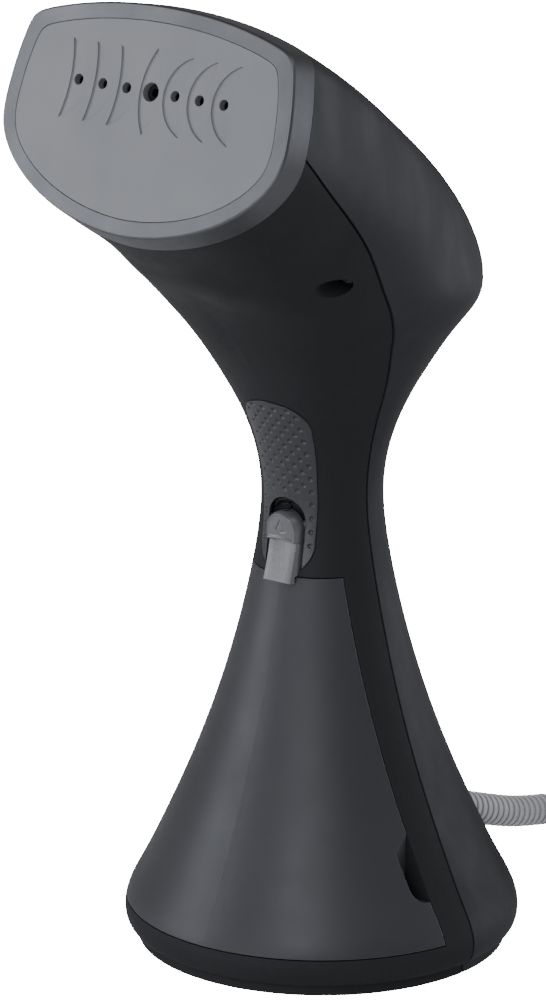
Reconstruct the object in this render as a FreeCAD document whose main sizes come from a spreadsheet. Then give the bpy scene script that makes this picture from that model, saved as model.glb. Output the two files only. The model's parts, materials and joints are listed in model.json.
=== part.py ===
"""Handheld garment steamer: a waisted body that stands on its base, with a steam head that leans forward.

Frame: +Z up, -Y to the front, where the steam plate faces; origin on the floor, at the axis of the base.
Every length is in millimetres and every angle in degrees.
"""
import FreeCAD, Part
import math
import os

import Sketcher

Vector = FreeCAD.Vector
Rotation = FreeCAD.Rotation
Placement = FreeCAD.Placement
X_AXIS, Y_AXIS, Z_AXIS = Vector(1, 0, 0), Vector(0, 1, 0), Vector(0, 0, 1)
UPRIGHT = Rotation()
ALONG_Y = Rotation(X_AXIS, -90)
ALONG_X = Rotation(Y_AXIS, 90)
FAR = 200.0

DIMENSIONS = {
    # outer form, as radii at heights
    "plinth_radius": 54.4, "plinth_height": 4.1, "plinth_lift": 0.6,
    "rim_radius": 58.3, "rim_height": 10.5, "neck_radius": 17.9, "neck_height": 137.0,
    "wall": 2.3, "seam_gap": 0.7,
    # steam head
    "plate_tilt": 19.5, "plate_y": -80.7, "plate_z": 272.2, "bezel_depth": 8.5, "bezel_ring": 4.6,
    "plate_thickness": 3.0, "plate_fit": 0.15, "hole_pitch": 8.46, "hole_radius": 1.55,
    "centre_hole_radius": 2.7, "channel_depth": 0.5,
    # tank
    "tank_top": 116.4, "tank_bottom": 12.9, "tank_wall": 2.0, "tank_gap": 0.4, "tank_back_wall": 2.0,
    "notch_low": 24.8, "notch_high": 46.6, "notch_front": -19.4, "notch_depth": 6.0,
    "filler_radius": 8.0, "filler_height": 92.0, "outlet_height": 24.0, "outlet_radius": 6.0,
    # latch
    "latch_half_width": 5.4, "latch_bottom": 115.0, "latch_top": 135.5,
    "latch_play": 0.35, "latch_spring_radius": 1.35, "latch_spring_wire": 0.5,
    # steam button
    "button_half_width": 6.0, "button_low": 146.0, "button_high": 170.0, "button_proud": 0.9,
    "button_play": 0.35, "button_spring_radius": 2.6, "button_spring_wire": 0.6,
    # grip pad
    "pad_thickness": 1.2, "pad_proud": 0.3, "dimple_radius": 0.9, "dimple_sink": 0.45,
    "dimple_pitch_x": 4.1, "dimple_pitch_z": 4.0,
    # base
    "cover_radius": 52.0, "cover_thickness": 2.4, "foot_outer": 51.0, "foot_inner": 45.0, "foot_height": 1.8,
    # pump and board
    "pump_y": 14.0, "pump_radius": 10.0, "pump_bottom": 9.0, "pump_top": 66.0, "coil_width": 30.0,
    "coil_depth": 26.0, "coil_height": 26.0, "coil_bottom": 32.0, "mount_radius": 13.0,
    "board_width": 44.0, "board_height": 46.0, "board_thickness": 1.6, "board_bottom": 34.0, "board_y": -5.2,
    "hose_radius": 2.5, "loom_radius": 2.2,
    # mains cord
    "cord_radius": 3.5, "sleeve_radius": 5.0, "sleeve_core": 4.3, "rib_pitch": 3.0, "rib_width": 2.1,
    "exit_y": 43.2, "exit_z": 24.0, "coil_x": 40.0, "coil_y": 156.0, "coil_inner": 28.0, "coil_outer": 49.0,
    "coil_top": 21.2, "plug_width": 25.0, "plug_thick": 15.0, "plug_length": 30.0,
}

doc = FreeCAD.newDocument("garment_steamer")
sheet = doc.addObject("Spreadsheet::Sheet", "sizes")
for row, (alias, value) in enumerate(DIMENSIONS.items(), start=1):
    sheet.set(f"A{row}", alias)
    sheet.set(f"B{row}", str(value))
    sheet.setAlias(f"B{row}", alias)
doc.recompute()


def size(alias):
    """The value of one driving dimension, read from the sheet."""
    return float(sheet.get(alias))


# ---------------------------------------------------------------- helpers

sub_parts = []


def keep(obj, label):
    """Name a finished sub-part; its label is its file's name."""
    obj.Label = label
    sub_parts.append(obj)
    return obj


def bind(obj, **formulas):
    """Bind properties to formulas over the sheet, or set them when they are plain values."""
    for name, formula in formulas.items():
        if isinstance(formula, str):
            obj.setExpression(name, formula)
        else:
            setattr(obj, name, formula)


def place(obj, x=0.0, y=0.0, z=0.0, turn=UPRIGHT):
    """Put an object at a point, each coordinate a number or a formula."""
    spot = [0.0 if isinstance(value, str) else value for value in (x, y, z)]
    obj.Placement = Placement(Vector(*spot), turn)
    for letter, value in zip("xyz", (x, y, z)):
        if isinstance(value, str):
            obj.setExpression(f"Placement.Base.{letter}", value)
    return obj


def cylinder(radius, height, x=0.0, y=0.0, z=0.0, turn=UPRIGHT):
    obj = doc.addObject("Part::Cylinder", "cylinder")
    bind(obj, Radius=radius, Height=height)
    return place(obj, x, y, z, turn)


def box(length, width, height, x=0.0, y=0.0, z=0.0, turn=UPRIGHT):
    obj = doc.addObject("Part::Box", "box")
    bind(obj, Length=length, Width=width, Height=height)
    return place(obj, x, y, z, turn)


def boolean(kind, first, *others):
    """Cut, fuse or intersect document objects, one step at a time."""
    result = first
    for other in others:
        step = doc.addObject(f"Part::{kind}", kind.lower())
        step.Base = result
        step.Tool = other
        result = step
    return result


def feature(shape, label=None):
    """A document object that holds a shape made with Part's own functions."""
    obj = doc.addObject("Part::Feature", label or "form")
    obj.Shape = shape
    return obj


def compound(objects):
    """A group of separate solids, such as a set of equal screws."""
    obj = doc.addObject("Part::Compound", "group")
    obj.Links = objects
    return obj


def origin_plane(body, role):
    return next(item for item in body.Origin.OriginFeatures if item.Role == role)


def sketch_on(body, role, lift=0.0):
    sketch = body.newObject("Sketcher::SketchObject", "sketch")
    sketch.AttachmentSupport = [(origin_plane(body, role), "")]
    sketch.MapMode = "FlatFace"
    if isinstance(lift, str):
        sketch.setExpression("AttachmentOffset.Base.z", lift)
    else:
        sketch.AttachmentOffset = Placement(Vector(0, 0, lift), UPRIGHT)
    return sketch


def draw_polygon(sketch, corners):
    """Draw a closed outline whose corners are bound, each coordinate a number or a formula."""
    count = len(corners)
    trial = [Vector(10 * math.cos(i * 2 * math.pi / count), 10 * math.sin(i * 2 * math.pi / count), 0)
             for i in range(count)]
    for i in range(count):
        sketch.addGeometry(Part.LineSegment(trial[i], trial[(i + 1) % count]), False)
    for i in range(count):
        sketch.addConstraint(Sketcher.Constraint("Coincident", i, 2, (i + 1) % count, 1))
    for i, corner in enumerate(corners):
        for kind, value in zip(("DistanceX", "DistanceY"), corner):
            start = 0.0 if isinstance(value, str) else value
            index = sketch.addConstraint(Sketcher.Constraint(kind, -1, 1, i, 1, start))
            if isinstance(value, str):
                sketch.setExpression(f"Constraints[{index}]", value)


def draw_circle(sketch, radius, x=0.0, y=0.0):
    index = sketch.addGeometry(Part.Circle(Vector(1, 1, 0), Z_AXIS, 5.0), False)
    for kind, value in (("DistanceX", x), ("DistanceY", y)):
        start = 0.0 if isinstance(value, str) else value
        rule = sketch.addConstraint(Sketcher.Constraint(kind, -1, 1, index, 3, start))
        if isinstance(value, str):
            sketch.setExpression(f"Constraints[{rule}]", value)
    rule = sketch.addConstraint(Sketcher.Constraint("Radius", index, 5.0))
    sketch.setExpression(f"Constraints[{rule}]", radius)


def new_body(label):
    return keep(doc.addObject("PartDesign::Body", label), label)


def pad(body, role, corners, length, lift=0.0, backwards=False):
    """Pad a polygon drawn on one of the body's own planes."""
    sketch = sketch_on(body, role, lift)
    draw_polygon(sketch, corners)
    step = body.newObject("PartDesign::Pad", "pad")
    step.Profile = sketch
    bind(step, Length=length)
    step.Reversed = backwards
    doc.recompute()
    return step


def pad_circle(body, role, radius, length, lift=0.0, x=0.0, y=0.0, backwards=False):
    sketch = sketch_on(body, role, lift)
    draw_circle(sketch, radius, x, y)
    step = body.newObject("PartDesign::Pad", "pad")
    step.Profile = sketch
    bind(step, Length=length)
    step.Reversed = backwards
    doc.recompute()
    return step


def bore(body, role, radius, length, spots, lift=0.0, backwards=False):
    """Pocket round holes and make sure that they really cut."""
    before = body.Shape.Volume
    sketch = sketch_on(body, role, lift)
    for x, y in spots:
        draw_circle(sketch, radius, x, y)
    step = body.newObject("PartDesign::Pocket", "pocket")
    step.Profile = sketch
    bind(step, Length=length)
    step.Reversed = backwards
    doc.recompute()
    if body.Shape.Volume > before - 0.1:
        raise RuntimeError(f"{body.Label}: a pocket cuts nothing")
    return step


def turned(body, outline):
    """Revolve a half outline of (radius, height) corners about the body's upright axis."""
    sketch = sketch_on(body, "XZ_Plane")
    draw_polygon(sketch, outline)
    step = body.newObject("PartDesign::Revolution", "turned")
    step.Profile = sketch
    step.ReferenceAxis = (sketch, ["V_Axis"])
    step.Angle = 360.0
    doc.recompute()
    return step


def polygon_prism(points, direction):
    """The solid swept by a flat polygon of 3-D points along a direction."""
    edges = Part.makePolygon(points + points[:1])
    return Part.Face(edges).extrude(direction)


def side_prism(points, half_width=FAR):
    """A prism across the object from a polygon of (y, z) points."""
    corners = [Vector(-half_width, y, z) for y, z in points]
    return polygon_prism(corners, Vector(2 * half_width, 0, 0))


def slot_wire(half_width, low, high, y=0.0):
    """An upright slot outline in the XZ plane: straight sides, round at both ends."""
    r = half_width
    right = Part.LineSegment(Vector(r, y, low + r), Vector(r, y, high - r)).toShape()
    top = Part.Arc(Vector(r, y, high - r), Vector(0, y, high), Vector(-r, y, high - r)).toShape()
    left = Part.LineSegment(Vector(-r, y, high - r), Vector(-r, y, low + r)).toShape()
    bottom = Part.Arc(Vector(-r, y, low + r), Vector(0, y, low), Vector(r, y, low + r)).toShape()
    return Part.Wire([right, top, left, bottom])


def slot_prism(half_width, low, high, near, far):
    """A solid of upright slot outline that runs along Y from near to far."""
    return Part.Face(slot_wire(half_width, low, high, near)).extrude(Vector(0, far - near, 0))


def rounded_path(points):
    """Straight runs joined by tangent arcs, each arc as large as its two runs allow."""
    points = [Vector(*p) for p in points]
    edges, radii = [], []
    last = points[0]
    for before, corner, after in zip(points, points[1:], points[2:]):
        into = (corner - before).normalize()
        out = (after - corner).normalize()
        half_turn = into.getAngle(out) / 2
        reach = 0.45 * min((corner - before).Length, (after - corner).Length)
        radius = reach / math.tan(half_turn)
        start, end = corner - into * reach, corner + out * reach
        inward = (out - into).normalize()
        middle = corner + inward * (radius / math.cos(half_turn) - radius)
        edges.append(Part.LineSegment(last, start).toShape())
        edges.append(Part.Arc(start, middle, end).toShape())
        radii.append(radius)
        last = end
    edges.append(Part.LineSegment(last, points[-1]).toShape())
    return Part.Wire(edges), radii


def hose(name, points, radius):
    """A round tube's outer solid along a route, with its volume checked against section times length."""
    path, radii = rounded_path(points)
    start = Vector(*points[0])
    heading = Vector(*points[1]) - start
    ring = Part.Wire([Part.Circle(start, heading, radius).toShape()])
    solid = path.makePipeShell([ring], True, False)
    expected = math.pi * radius ** 2 * path.Length
    ratio = solid.Volume / expected
    print(f"{name}: length {path.Length:.1f}, tightest radius {min(radii):.0f}, volume ratio {ratio:.3f}")
    if abs(ratio - 1) > 0.02:
        raise RuntimeError(f"{name}: the tube's volume is wrong")
    return solid, path


def spring(radius, wire_diameter, length, turns, foot, turn=UPRIGHT):
    """A compression spring that starts at its foot and runs along its own Z."""
    pitch = (length - wire_diameter) / turns
    helix = Part.makeHelix(pitch, pitch * turns, radius)
    section = Part.Wire([Part.Circle(Vector(radius, 0, 0), Y_AXIS, wire_diameter / 2).toShape()])
    solid = Part.Wire(helix.Edges).makePipeShell([section], True, True)
    solid.translate(Vector(0, 0, wire_diameter / 2))
    solid.Placement = Placement(foot, turn).multiply(solid.Placement)
    return solid


# ---------------------------------------------------------------- outer form
# Below the neck the body is round, so a height and a radius say it all. Above it, sections lean from level to
# parallel with the steam plate, and change from a circle to the plate's outline.

ROUND_SECTIONS = [
    (size("plinth_height"), size("rim_radius") - 2.4),
    (6.5, size("rim_radius") - 0.5),
    (size("rim_height"), size("rim_radius")),
    (15.0, 57.2), (22.0, 53.7), (35.0, 47.3), (50.0, 40.6), (70.0, 32.8), (90.0, 26.5), (110.0, 21.6),
    (125.0, 18.9), (size("neck_height"), size("neck_radius")),
    (150.0, 19.3), (164.0, 24.1), (178.0, 31.9), (190.0, 40.1),
]
# throat point (y, z), roof point (y, z), half width, share of the plate's outline, centre's place on the way
HEAD_SECTIONS = [
    ((-49.5, 201.0), (44.6, 199.4), 47.6, 0.0, 0.5),
    ((-60.5, 209.3), (40.8, 212.0), 48.0, 0.22, 0.5),
    ((-69.5, 216.5), (19.4, 237.0), 48.4, 0.46, 0.49),
    ((-78.3, 223.2), (-19.6, 265.0), 49.5, 0.85, 0.48),
    ((-87.1, 228.9), (-64.3, 293.0), 50.6, 1.0, 0.47),
]
# the outline's points by angle up one side, closer together where the roof corner turns
RIGHT_ANGLES = [-90, -78, -66, -54, -42, -30, -18, -6, 6, 16, 22, 26, 28, 29.5, 31, 32.5, 34, 36, 39, 46, 56,
                68, 80]
OUTLINE_ANGLES = RIGHT_ANGLES + [90] + [180 - angle for angle in reversed(RIGHT_ANGLES[1:])]
JAW_POWER, CORNER_POWER, ROOF_SPREAD, SIDE_RISE = 1.87, 40.0, 1.49, 1.98


def reach_at(angle, half_width, low, high, share):
    """Distance from a section's centre to its outline, between an oval and the plate's outline."""
    across, up = abs(math.cos(angle)), abs(math.sin(angle))
    if math.sin(angle) < 0:
        oval = ((across / half_width) ** 2 + (up / low) ** 2) ** -0.5
        plate = ((across / half_width) ** JAW_POWER + (up / low) ** JAW_POWER) ** (-1 / JAW_POWER)
    else:
        oval = ((across / half_width) ** 2 + (up / high) ** 2) ** -0.5
        side = ((across / half_width) ** 2 + (up / (SIDE_RISE * high)) ** 2) ** -0.5
        roof = ((across / (ROOF_SPREAD * half_width)) ** 2 + (up / high) ** 2) ** -0.5
        plate = (side ** -CORNER_POWER + roof ** -CORNER_POWER) ** (-1 / CORNER_POWER)
    return (1 - share) * oval + share * plate


def section_points(throat, roof, half_width, share=0.0, centre_at=0.5, inset=0.0):
    """Points round one section, whose plane holds the X direction and the line from throat to roof."""
    span = (roof - throat).Length
    up = (roof - throat).normalize()
    centre = throat + up * (centre_at * span)
    low, high = centre_at * span - inset, (1 - centre_at) * span - inset
    points = []
    for degrees in OUTLINE_ANGLES:
        angle = math.radians(degrees)
        reach = reach_at(angle, half_width - inset, low, high, share)
        points.append(centre + X_AXIS * (reach * math.cos(angle)) + up * (reach * math.sin(angle)))
    return points


def spacing_of(points):
    """Curve parameters that grow with the square root of each chord, all the way round."""
    spacing = [0.0]
    for here, there in zip(points, points[1:] + points[:1]):
        spacing.append(spacing[-1] + math.sqrt((there - here).Length))
    return spacing


OUTLINE_SPACING = spacing_of(section_points(Vector(0, 0, -32), Vector(0, 0, 36), 50.6, 1.0, 0.47))


def closed_curve(points):
    curve = Part.BSplineCurve()
    curve.interpolate(Points=points, PeriodicFlag=True, Parameters=OUTLINE_SPACING)
    return curve


def skinned_solid(rows):
    """One smooth surface through all the rows of section points, closed by two flat ends."""
    curves = [closed_curve(points) for points in rows]
    along = [0.0]
    for here, there in zip(rows, rows[1:]):
        along.append(along[-1] + sum((b - a).Length for a, b in zip(here, there)) / len(here))
    lines = []
    for number in range(1, curves[0].NbPoles + 1):
        line = Part.BSplineCurve()
        line.interpolate(Points=[curve.getPole(number) for curve in curves], Parameters=along)
        lines.append(line)
    poles = [[line.getPole(number) for number in range(1, line.NbPoles + 1)] for line in lines]
    surface = Part.BSplineSurface()
    surface.buildFromPolesMultsKnots(poles, curves[0].getMultiplicities(), lines[0].getMultiplicities(),
                                     curves[0].getKnots(), lines[0].getKnots(), True, False, 3, 3)
    first, last = surface.bounds()[2:]
    ends = [Part.Face(Part.Wire([surface.vIso(v).toShape()])) for v in (first, last)]
    shell = Part.makeShell([surface.toShape()] + ends)
    shell.sewShape()
    solid = Part.makeSolid(shell)
    if solid.Volume < 0:
        solid.reverse()
    return solid


PLATE_TILT = math.radians(size("plate_tilt"))
PLATE_CENTRE = Vector(0, size("plate_y"), size("plate_z"))
PLATE_OUT = Vector(0, -math.cos(PLATE_TILT), math.sin(PLATE_TILT))
PLATE_UP = Vector(0, math.sin(PLATE_TILT), math.cos(PLATE_TILT))


def on_plate(x, up, depth=0.0):
    """A point in the steam plate's frame: across, up the plate, and depth behind its face."""
    return PLATE_CENTRE + X_AXIS * x + PLATE_UP * up - PLATE_OUT * depth


PLATE_TURN = Rotation(X_AXIS, PLATE_UP, PLATE_OUT)
INTO_HEAD = Rotation(X_AXIS, PLATE_UP * -1, PLATE_OUT * -1)


def form(inset=0.0, overrun=0.0):
    """The outer form moved inwards by an inset; an overrun carries both ends past the form's own."""
    rows = []
    for number, (height, radius) in enumerate(ROUND_SECTIONS):
        below = ROUND_SECTIONS[max(number - 1, 0)]
        above = ROUND_SECTIONS[min(number + 1, len(ROUND_SECTIONS) - 1)]
        slope = (above[1] - below[1]) / (above[0] - below[0])
        radius -= inset * math.hypot(1, slope)
        if number == 0:
            height -= overrun
        rows.append(section_points(Vector(0, -radius, height), Vector(0, radius, height), radius))
    for throat, roof, half_width, share, centre_at in HEAD_SECTIONS:
        rows.append(section_points(Vector(0, *throat), Vector(0, *roof), half_width, share, centre_at, inset))
    if overrun:
        rows.append([point + PLATE_OUT * overrun for point in rows[-1]])
    return skinned_solid(rows)


def front_radius(height):
    """Radius of the round part of the form at a height, by the cubic through the sections near it."""
    nearest = sorted(ROUND_SECTIONS, key=lambda section: abs(section[0] - height))[:4]
    total = 0.0
    for z_one, radius in nearest:
        weight = 1.0
        for z_two, _ in nearest:
            if z_two != z_one:
                weight *= (height - z_two) / (z_one - z_two)
        total += weight * radius
    return total


def plate_points(inset, depth):
    """The plate's outline at a depth behind its face; the collar widens a little towards the housing."""
    flare = depth / size("bezel_depth")
    throat = on_plate(0, -40.8 - 2.15 * flare, depth)
    roof = on_plate(0, 24.1 + 0.98 * flare, depth)
    return section_points(throat, roof, 49.4 + 1.2 * flare, 1.0, 0.46 + 0.01 * flare, inset)


def head_prism(inset, near, far):
    """A straight block of the plate's outline between two depths behind the plate's face."""
    outline = Part.Wire([closed_curve(plate_points(inset, 0)).toShape()])
    return Part.Face(outline).extrude(PLATE_OUT * (near - far)).translated(PLATE_OUT * -near)


outer = form()
inner = form(size("wall"), 1.5)
tongue_form = form(size("wall") / 2 + 0.1, 1.5)

# the split between the front and rear housings, seen from the side, as (y, z) points
SEAM_POINTS = [(-4.3, -2), (-3.9, 9), (-3.3, 30), (-2.7, 62), (-1.9, 102), (-2.0, 126), (-3.1, 150),
               (-5.5, 165), (-9.6, 177.5), (-18.3, 193), (-25.2, 202.5), (-33, 215), (-41.4, 226),
               (-53.8, 238.3), (-65.1, 248.5), (-78.4, 261.5), (-90, 271.5)]


def front_of_seam(shift):
    """Everything in front of the seam, moved backwards by a shift."""
    points = [Vector(-FAR, y + shift, z + shift / 2) for y, z in SEAM_POINTS]
    curve = Part.BSplineCurve()
    curve.interpolate(points)
    corners = [points[-1], Vector(-FAR, -FAR, 2 * FAR), Vector(-FAR, -FAR, -FAR), points[0]]
    edges = [curve.toShape()]
    for here, there in zip(corners, corners[1:]):
        edges.append(Part.LineSegment(here, there).toShape())
    return Part.Face(Part.Wire(edges)).extrude(Vector(2 * FAR, 0, 0))


# the tank's bay: its back leans a little, and every wall round it stands off by the wall's thickness
def bay_prism(grow):
    top, bottom = size("tank_top") + grow, size("tank_bottom") - grow
    lean = 3.0 / 104.0
    back_at_top = -12.0 + grow
    back_at_bottom = back_at_top - lean * (top - bottom)
    return side_prism([(-FAR, top), (back_at_top, top), (back_at_bottom, bottom), (-FAR, bottom)])


def bay_back(height, grow=0.0):
    """The y of the bay's back at a height."""
    return -12.0 + grow - 3.0 / 104.0 * (size("tank_top") - height)


plinth = Part.makeCylinder(size("plinth_radius"), 6.0, Vector(0, 0, size("plinth_lift")))
plinth_hollow = Part.makeCylinder(size("cover_radius") + 0.3, 9.0, Vector(0, 0, -1))
shell = outer.fuse(plinth).cut(inner).cut(plinth_hollow)

# ---------------------------------------------------------------- front housing

half_latch = size("latch_half_width")
latch_play = size("latch_play")
latch_top = size("latch_top")
bay_walls = bay_prism(size("tank_gap") + 2.2).common(outer)
latch_block = Part.makeBox(17.2, 6.4, 25.0, Vector(-8.6, -19.2, 117.0)).common(outer)
latch_opening = slot_prism(half_latch + latch_play, 90.0, latch_top + 2.9, -60.0, -16.0)
latch_cavity = Part.makeBox(14.4, 1.9, latch_top + 3.0 - 117.6, Vector(-7.2, -16.1, 117.6))

PAD_SIDE = 9.4


def pad_outline(grow, y):
    """The grip pad's outline: narrow at the bottom, wider above, with an arched top."""
    g = grow
    corners = [Vector(6.2, y, 118.9 - g), Vector(8.6 + g, y, 122.2 - g / 2), Vector(PAD_SIDE + g, y, 127.5),
               Vector(9.7 + g, y, 145.0), Vector(11.0 + g, y, 160.5), Vector(9.9 + g * 0.8, y, 166.6 + g / 2),
               Vector(5.6 + g / 2, y, 169.6 + g), Vector(0, y, 170.5 + g)]
    left = [Vector(-p.x, p.y, p.z) for p in corners]
    edges = [Part.Arc(corners[0], corners[1], corners[2]).toShape(),
             Part.LineSegment(corners[2], corners[3]).toShape(),
             Part.LineSegment(corners[3], corners[4]).toShape(),
             Part.Arc(corners[4], corners[5], corners[6]).toShape(),
             Part.Arc(corners[6], corners[7], left[6]).toShape(),
             Part.Arc(left[6], left[5], left[4]).toShape(),
             Part.LineSegment(left[4], left[3]).toShape(),
             Part.LineSegment(left[3], left[2]).toShape(),
             Part.Arc(left[2], left[1], left[0]).toShape(),
             Part.LineSegment(left[0], corners[0]).toShape()]
    return Part.Wire(edges)


def pad_prism(grow):
    return Part.Face(pad_outline(grow, -45.0)).extrude(Vector(0, 40.0, 0))


pad_slot = slot_prism(half_latch + 1.15, 90.0, latch_top + 4.0, -60.0, -5.0)
pad_seat = pad_prism(0.12).cut(form(size("pad_thickness") - size("pad_proud") + 0.08))

# the housing screws lie in deep round recesses, one each side of the throat, that run back and up
SCREW_SIDE = 37.4
SCREW_SPOT = (-46.0, 214.0)
SCREW_WAY = Vector(0, 0.93, 0.37).normalize()
SCREW_SEAT = 9.0


def screw_line(side, along):
    return Vector(side * SCREW_SIDE, *SCREW_SPOT) + SCREW_WAY * along


def recess(side, radius, start, end):
    return Part.makeCylinder(radius, end - start, screw_line(side, start), SCREW_WAY)


SIDES = (-1, 1)
front_region = front_of_seam(-size("seam_gap") / 2)
front = shell.fuse([bay_walls, latch_block])
front = front.fuse([recess(side, 5.4, -16, SCREW_SEAT + 3.0).common(outer) for side in SIDES])
BOARD_POSTS = [(side * 18.0, z) for side in SIDES for z in (38.0, 76.0)]
FRONT_POSTS = [(side * 24.0, -30.0) for side in SIDES]
REAR_POSTS = [(side * 36.0, 22.0) for side in SIDES]
front = front.fuse([Part.makeCylinder(3.2, 7.4, Vector(x, y, 3.3)) for x, y in FRONT_POSTS])
board_back = size("board_y") - size("board_thickness")
front = front.fuse([Part.makeCylinder(2.4, 13.0 + board_back, Vector(x, -13.0, z), Y_AXIS)
                    for x, z in BOARD_POSTS])
front = front.cut(Part.makeCompound(
    [Part.makeCylinder(1.2, 7.0, Vector(x, y, 3.0)) for x, y in FRONT_POSTS]
    + [Part.makeCylinder(0.9, 7.0, Vector(x, board_back - 5.0, z), Y_AXIS) for x, z in BOARD_POSTS]))
front = front.cut(Part.makeCompound([recess(side, 3.6, -30, SCREW_SEAT) for side in SIDES]))
front = front.cut(Part.makeCompound([recess(side, 1.7, 0, 60) for side in SIDES]))
front = front.cut(Part.makeCompound([bay_prism(size("tank_gap")), latch_opening, latch_cavity, pad_seat]))
front = front.common(front_region)
LIP_BAND = Part.makeBox(2 * FAR, 2 * FAR, 196, Vector(-FAR, -FAR, 12))
rebate = form(size("wall") / 2 - 0.05).cut(front_of_seam(-2.6)).common(LIP_BAND.translated(Vector(0, 0, 0.4)))
front = front.cut(rebate.cut(LIP_BAND.translated(Vector(0, 0, -196.4))))
DOCK_X = -27.0
outlet_z = size("outlet_height")
front = front.cut(Part.makeCylinder(3.6, 20, Vector(DOCK_X, -22, outlet_z), Y_AXIS))
filler_z = size("filler_height")
front = front.cut(Part.makeCylinder(size("filler_radius") + 0.8, 10.9, Vector(0, -22, filler_z), Y_AXIS))
keep(feature(front), "front_housing")

# ---------------------------------------------------------------- rear housing

button_low, button_high = size("button_low"), size("button_high")
button_half, button_play = size("button_half_width"), size("button_play")
INDICATOR_Z, INDICATOR_RADIUS = 180.0, 2.2
exit_z = size("exit_z")
rear_region = front_of_seam(size("seam_gap") / 2)
button_hole = slot_prism(button_half + button_play, button_low - button_play, button_high + button_play,
                         5, 60)
rear = shell.cut(rear_region)
lip_front = front_of_seam(-2.2)
lip_band = tongue_form.cut(inner).cut(lip_front).common(front_of_seam(4.0))
lip_band = lip_band.common(LIP_BAND)
rear = rear.fuse(lip_band)
rear = rear.fuse([recess(side, 4.4, SCREW_SEAT + 3.2, 90).common(outer) for side in SIDES])
BRACKET_POSTS = (139.8, 174.5)
BRACKET_FACE, BRACKET_THICKNESS = 5.0, 1.8
rear = rear.fuse([Part.makeCylinder(2.2, 40, Vector(0, BRACKET_FACE, z), Y_AXIS).common(outer)
                  for z in BRACKET_POSTS])
rear = rear.fuse([Part.makeCylinder(3.2, 14.0, Vector(x, y, 3.3)) for x, y in REAR_POSTS])
rear = rear.fuse([Part.makeBox(22.0, 2.0, 12.0, Vector(x if x > 0 else x - 22.0, y - 1.0, 5.0)).common(outer)
                  for x, y in REAR_POSTS])
rear = rear.fuse(Part.makeCylinder(3.6, 12, Vector(0, 25, INDICATOR_Z), Y_AXIS).common(outer))
rear = rear.cut(Part.makeCompound([recess(side, 1.2, 0, 30) for side in SIDES]))
rear = rear.cut(Part.makeCompound(
    [Part.makeCylinder(1.2, 8.0, Vector(x, y, 3.0)) for x, y in REAR_POSTS]
    + [Part.makeCylinder(0.9, 8.0, Vector(0, 4.0, z), Y_AXIS) for z in BRACKET_POSTS]))
rear = rear.cut(Part.makeCompound([
    button_hole,
    Part.makeCylinder(INDICATOR_RADIUS + 0.1, 60, Vector(0, 20, INDICATOR_Z), Y_AXIS),
    Part.makeCylinder(size("sleeve_core") + 0.5, 30, Vector(0, 40, exit_z), Y_AXIS)]))
keep(feature(rear), "rear_housing")

# ---------------------------------------------------------------- grip pad

pad_inner = form(size("pad_thickness") - size("pad_proud"))
pad_outer = form(-size("pad_proud"))
grip = pad_prism(0.0).common(pad_outer).cut(pad_inner).cut(pad_slot)
PAD_TOP_ROW = 168.5
dimples = []
for row_number in range(-13, 12):
    z = 146.0 + row_number * size("dimple_pitch_z") / 2
    for column in range(-4, 5):
        x = column * size("dimple_pitch_x") / 2
        inside = abs(x) < 8.4 - max(0.0, 126.0 - z) * 0.3 and z < PAD_TOP_ROW
        clear_of_latch = z > latch_top + 6.0 or abs(x) > half_latch + 2.0
        if (row_number + column) % 2 == 0 and inside and clear_of_latch:
            surface_radius = front_radius(z) + size("pad_proud")
            y = -math.sqrt(surface_radius ** 2 - x ** 2)
            out = Vector(x, y, 0).normalize()
            dimple = Part.makeSphere(size("dimple_radius"), Vector(), out)
            dimple.translate(Vector(x, y, z) + out * (size("dimple_radius") - size("dimple_sink")))
            dimples.append(dimple)
grip = grip.cut(Part.makeCompound(dimples))
keep(feature(grip), "grip_pad")

# ---------------------------------------------------------------- tank latch

latch_bottom = size("latch_bottom")
latch_side = [(-22.5, latch_bottom), (-21.7, 120.0), (-20.6, 124.5), (-19.9, 127.0), (-20.4, 128.6),
              (-20.6, 131.0), (-20.1, 134.0), (-19.0, latch_top), (-14.6, latch_top), (-14.6, 119.6),
              (-16.3, 119.0), (-16.3, 117.0), (-20.95, 116.7), (-20.95, latch_bottom)]
latch = side_prism(latch_side, half_latch)
latch = latch.common(slot_prism(half_latch, 90.0, latch_top, -60.0, 0.0))
latch = latch.common(Part.makeCylinder(12.7, 40, Vector(0, -9.8, 100)))
flange = Part.makeBox(13.6, 1.1, 13.0, Vector(-6.8, -15.7, 119.4))
latch = latch.fuse(flange)
latch = latch.cut(Part.makeCylinder(1.9, 30, Vector(0, -17.1, 122.0)))
arrow_outer = polygon_prism([Vector(-1.7, -25, 129.6), Vector(1.7, -25, 129.6), Vector(0, -25, 133.2)],
                            Y_AXIS * 4.75)
arrow_inner = polygon_prism([Vector(-1.05, -26, 130.0), Vector(1.05, -26, 130.0), Vector(0, -26, 132.3)],
                            Y_AXIS * 9)
latch = latch.cut(arrow_outer.cut(arrow_inner))
keep(feature(latch), "tank_latch")
keep(feature(spring(size("latch_spring_radius"), size("latch_spring_wire"), latch_top + 2.8 - 122.1, 9,
                    Vector(0, -17.1, 122.05))), "latch_spring")

# ---------------------------------------------------------------- water tank

tank_wall = size("tank_wall")
tank_form = outer.common(bay_prism(0.0))
notch_top, notch_low = size("notch_high"), size("notch_low")
notch_front, notch_floor = size("notch_front"), 47.0 - size("notch_depth")
NOTCH_ROUNDING, NOTCH_STEPS = 4.2, 6


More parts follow.
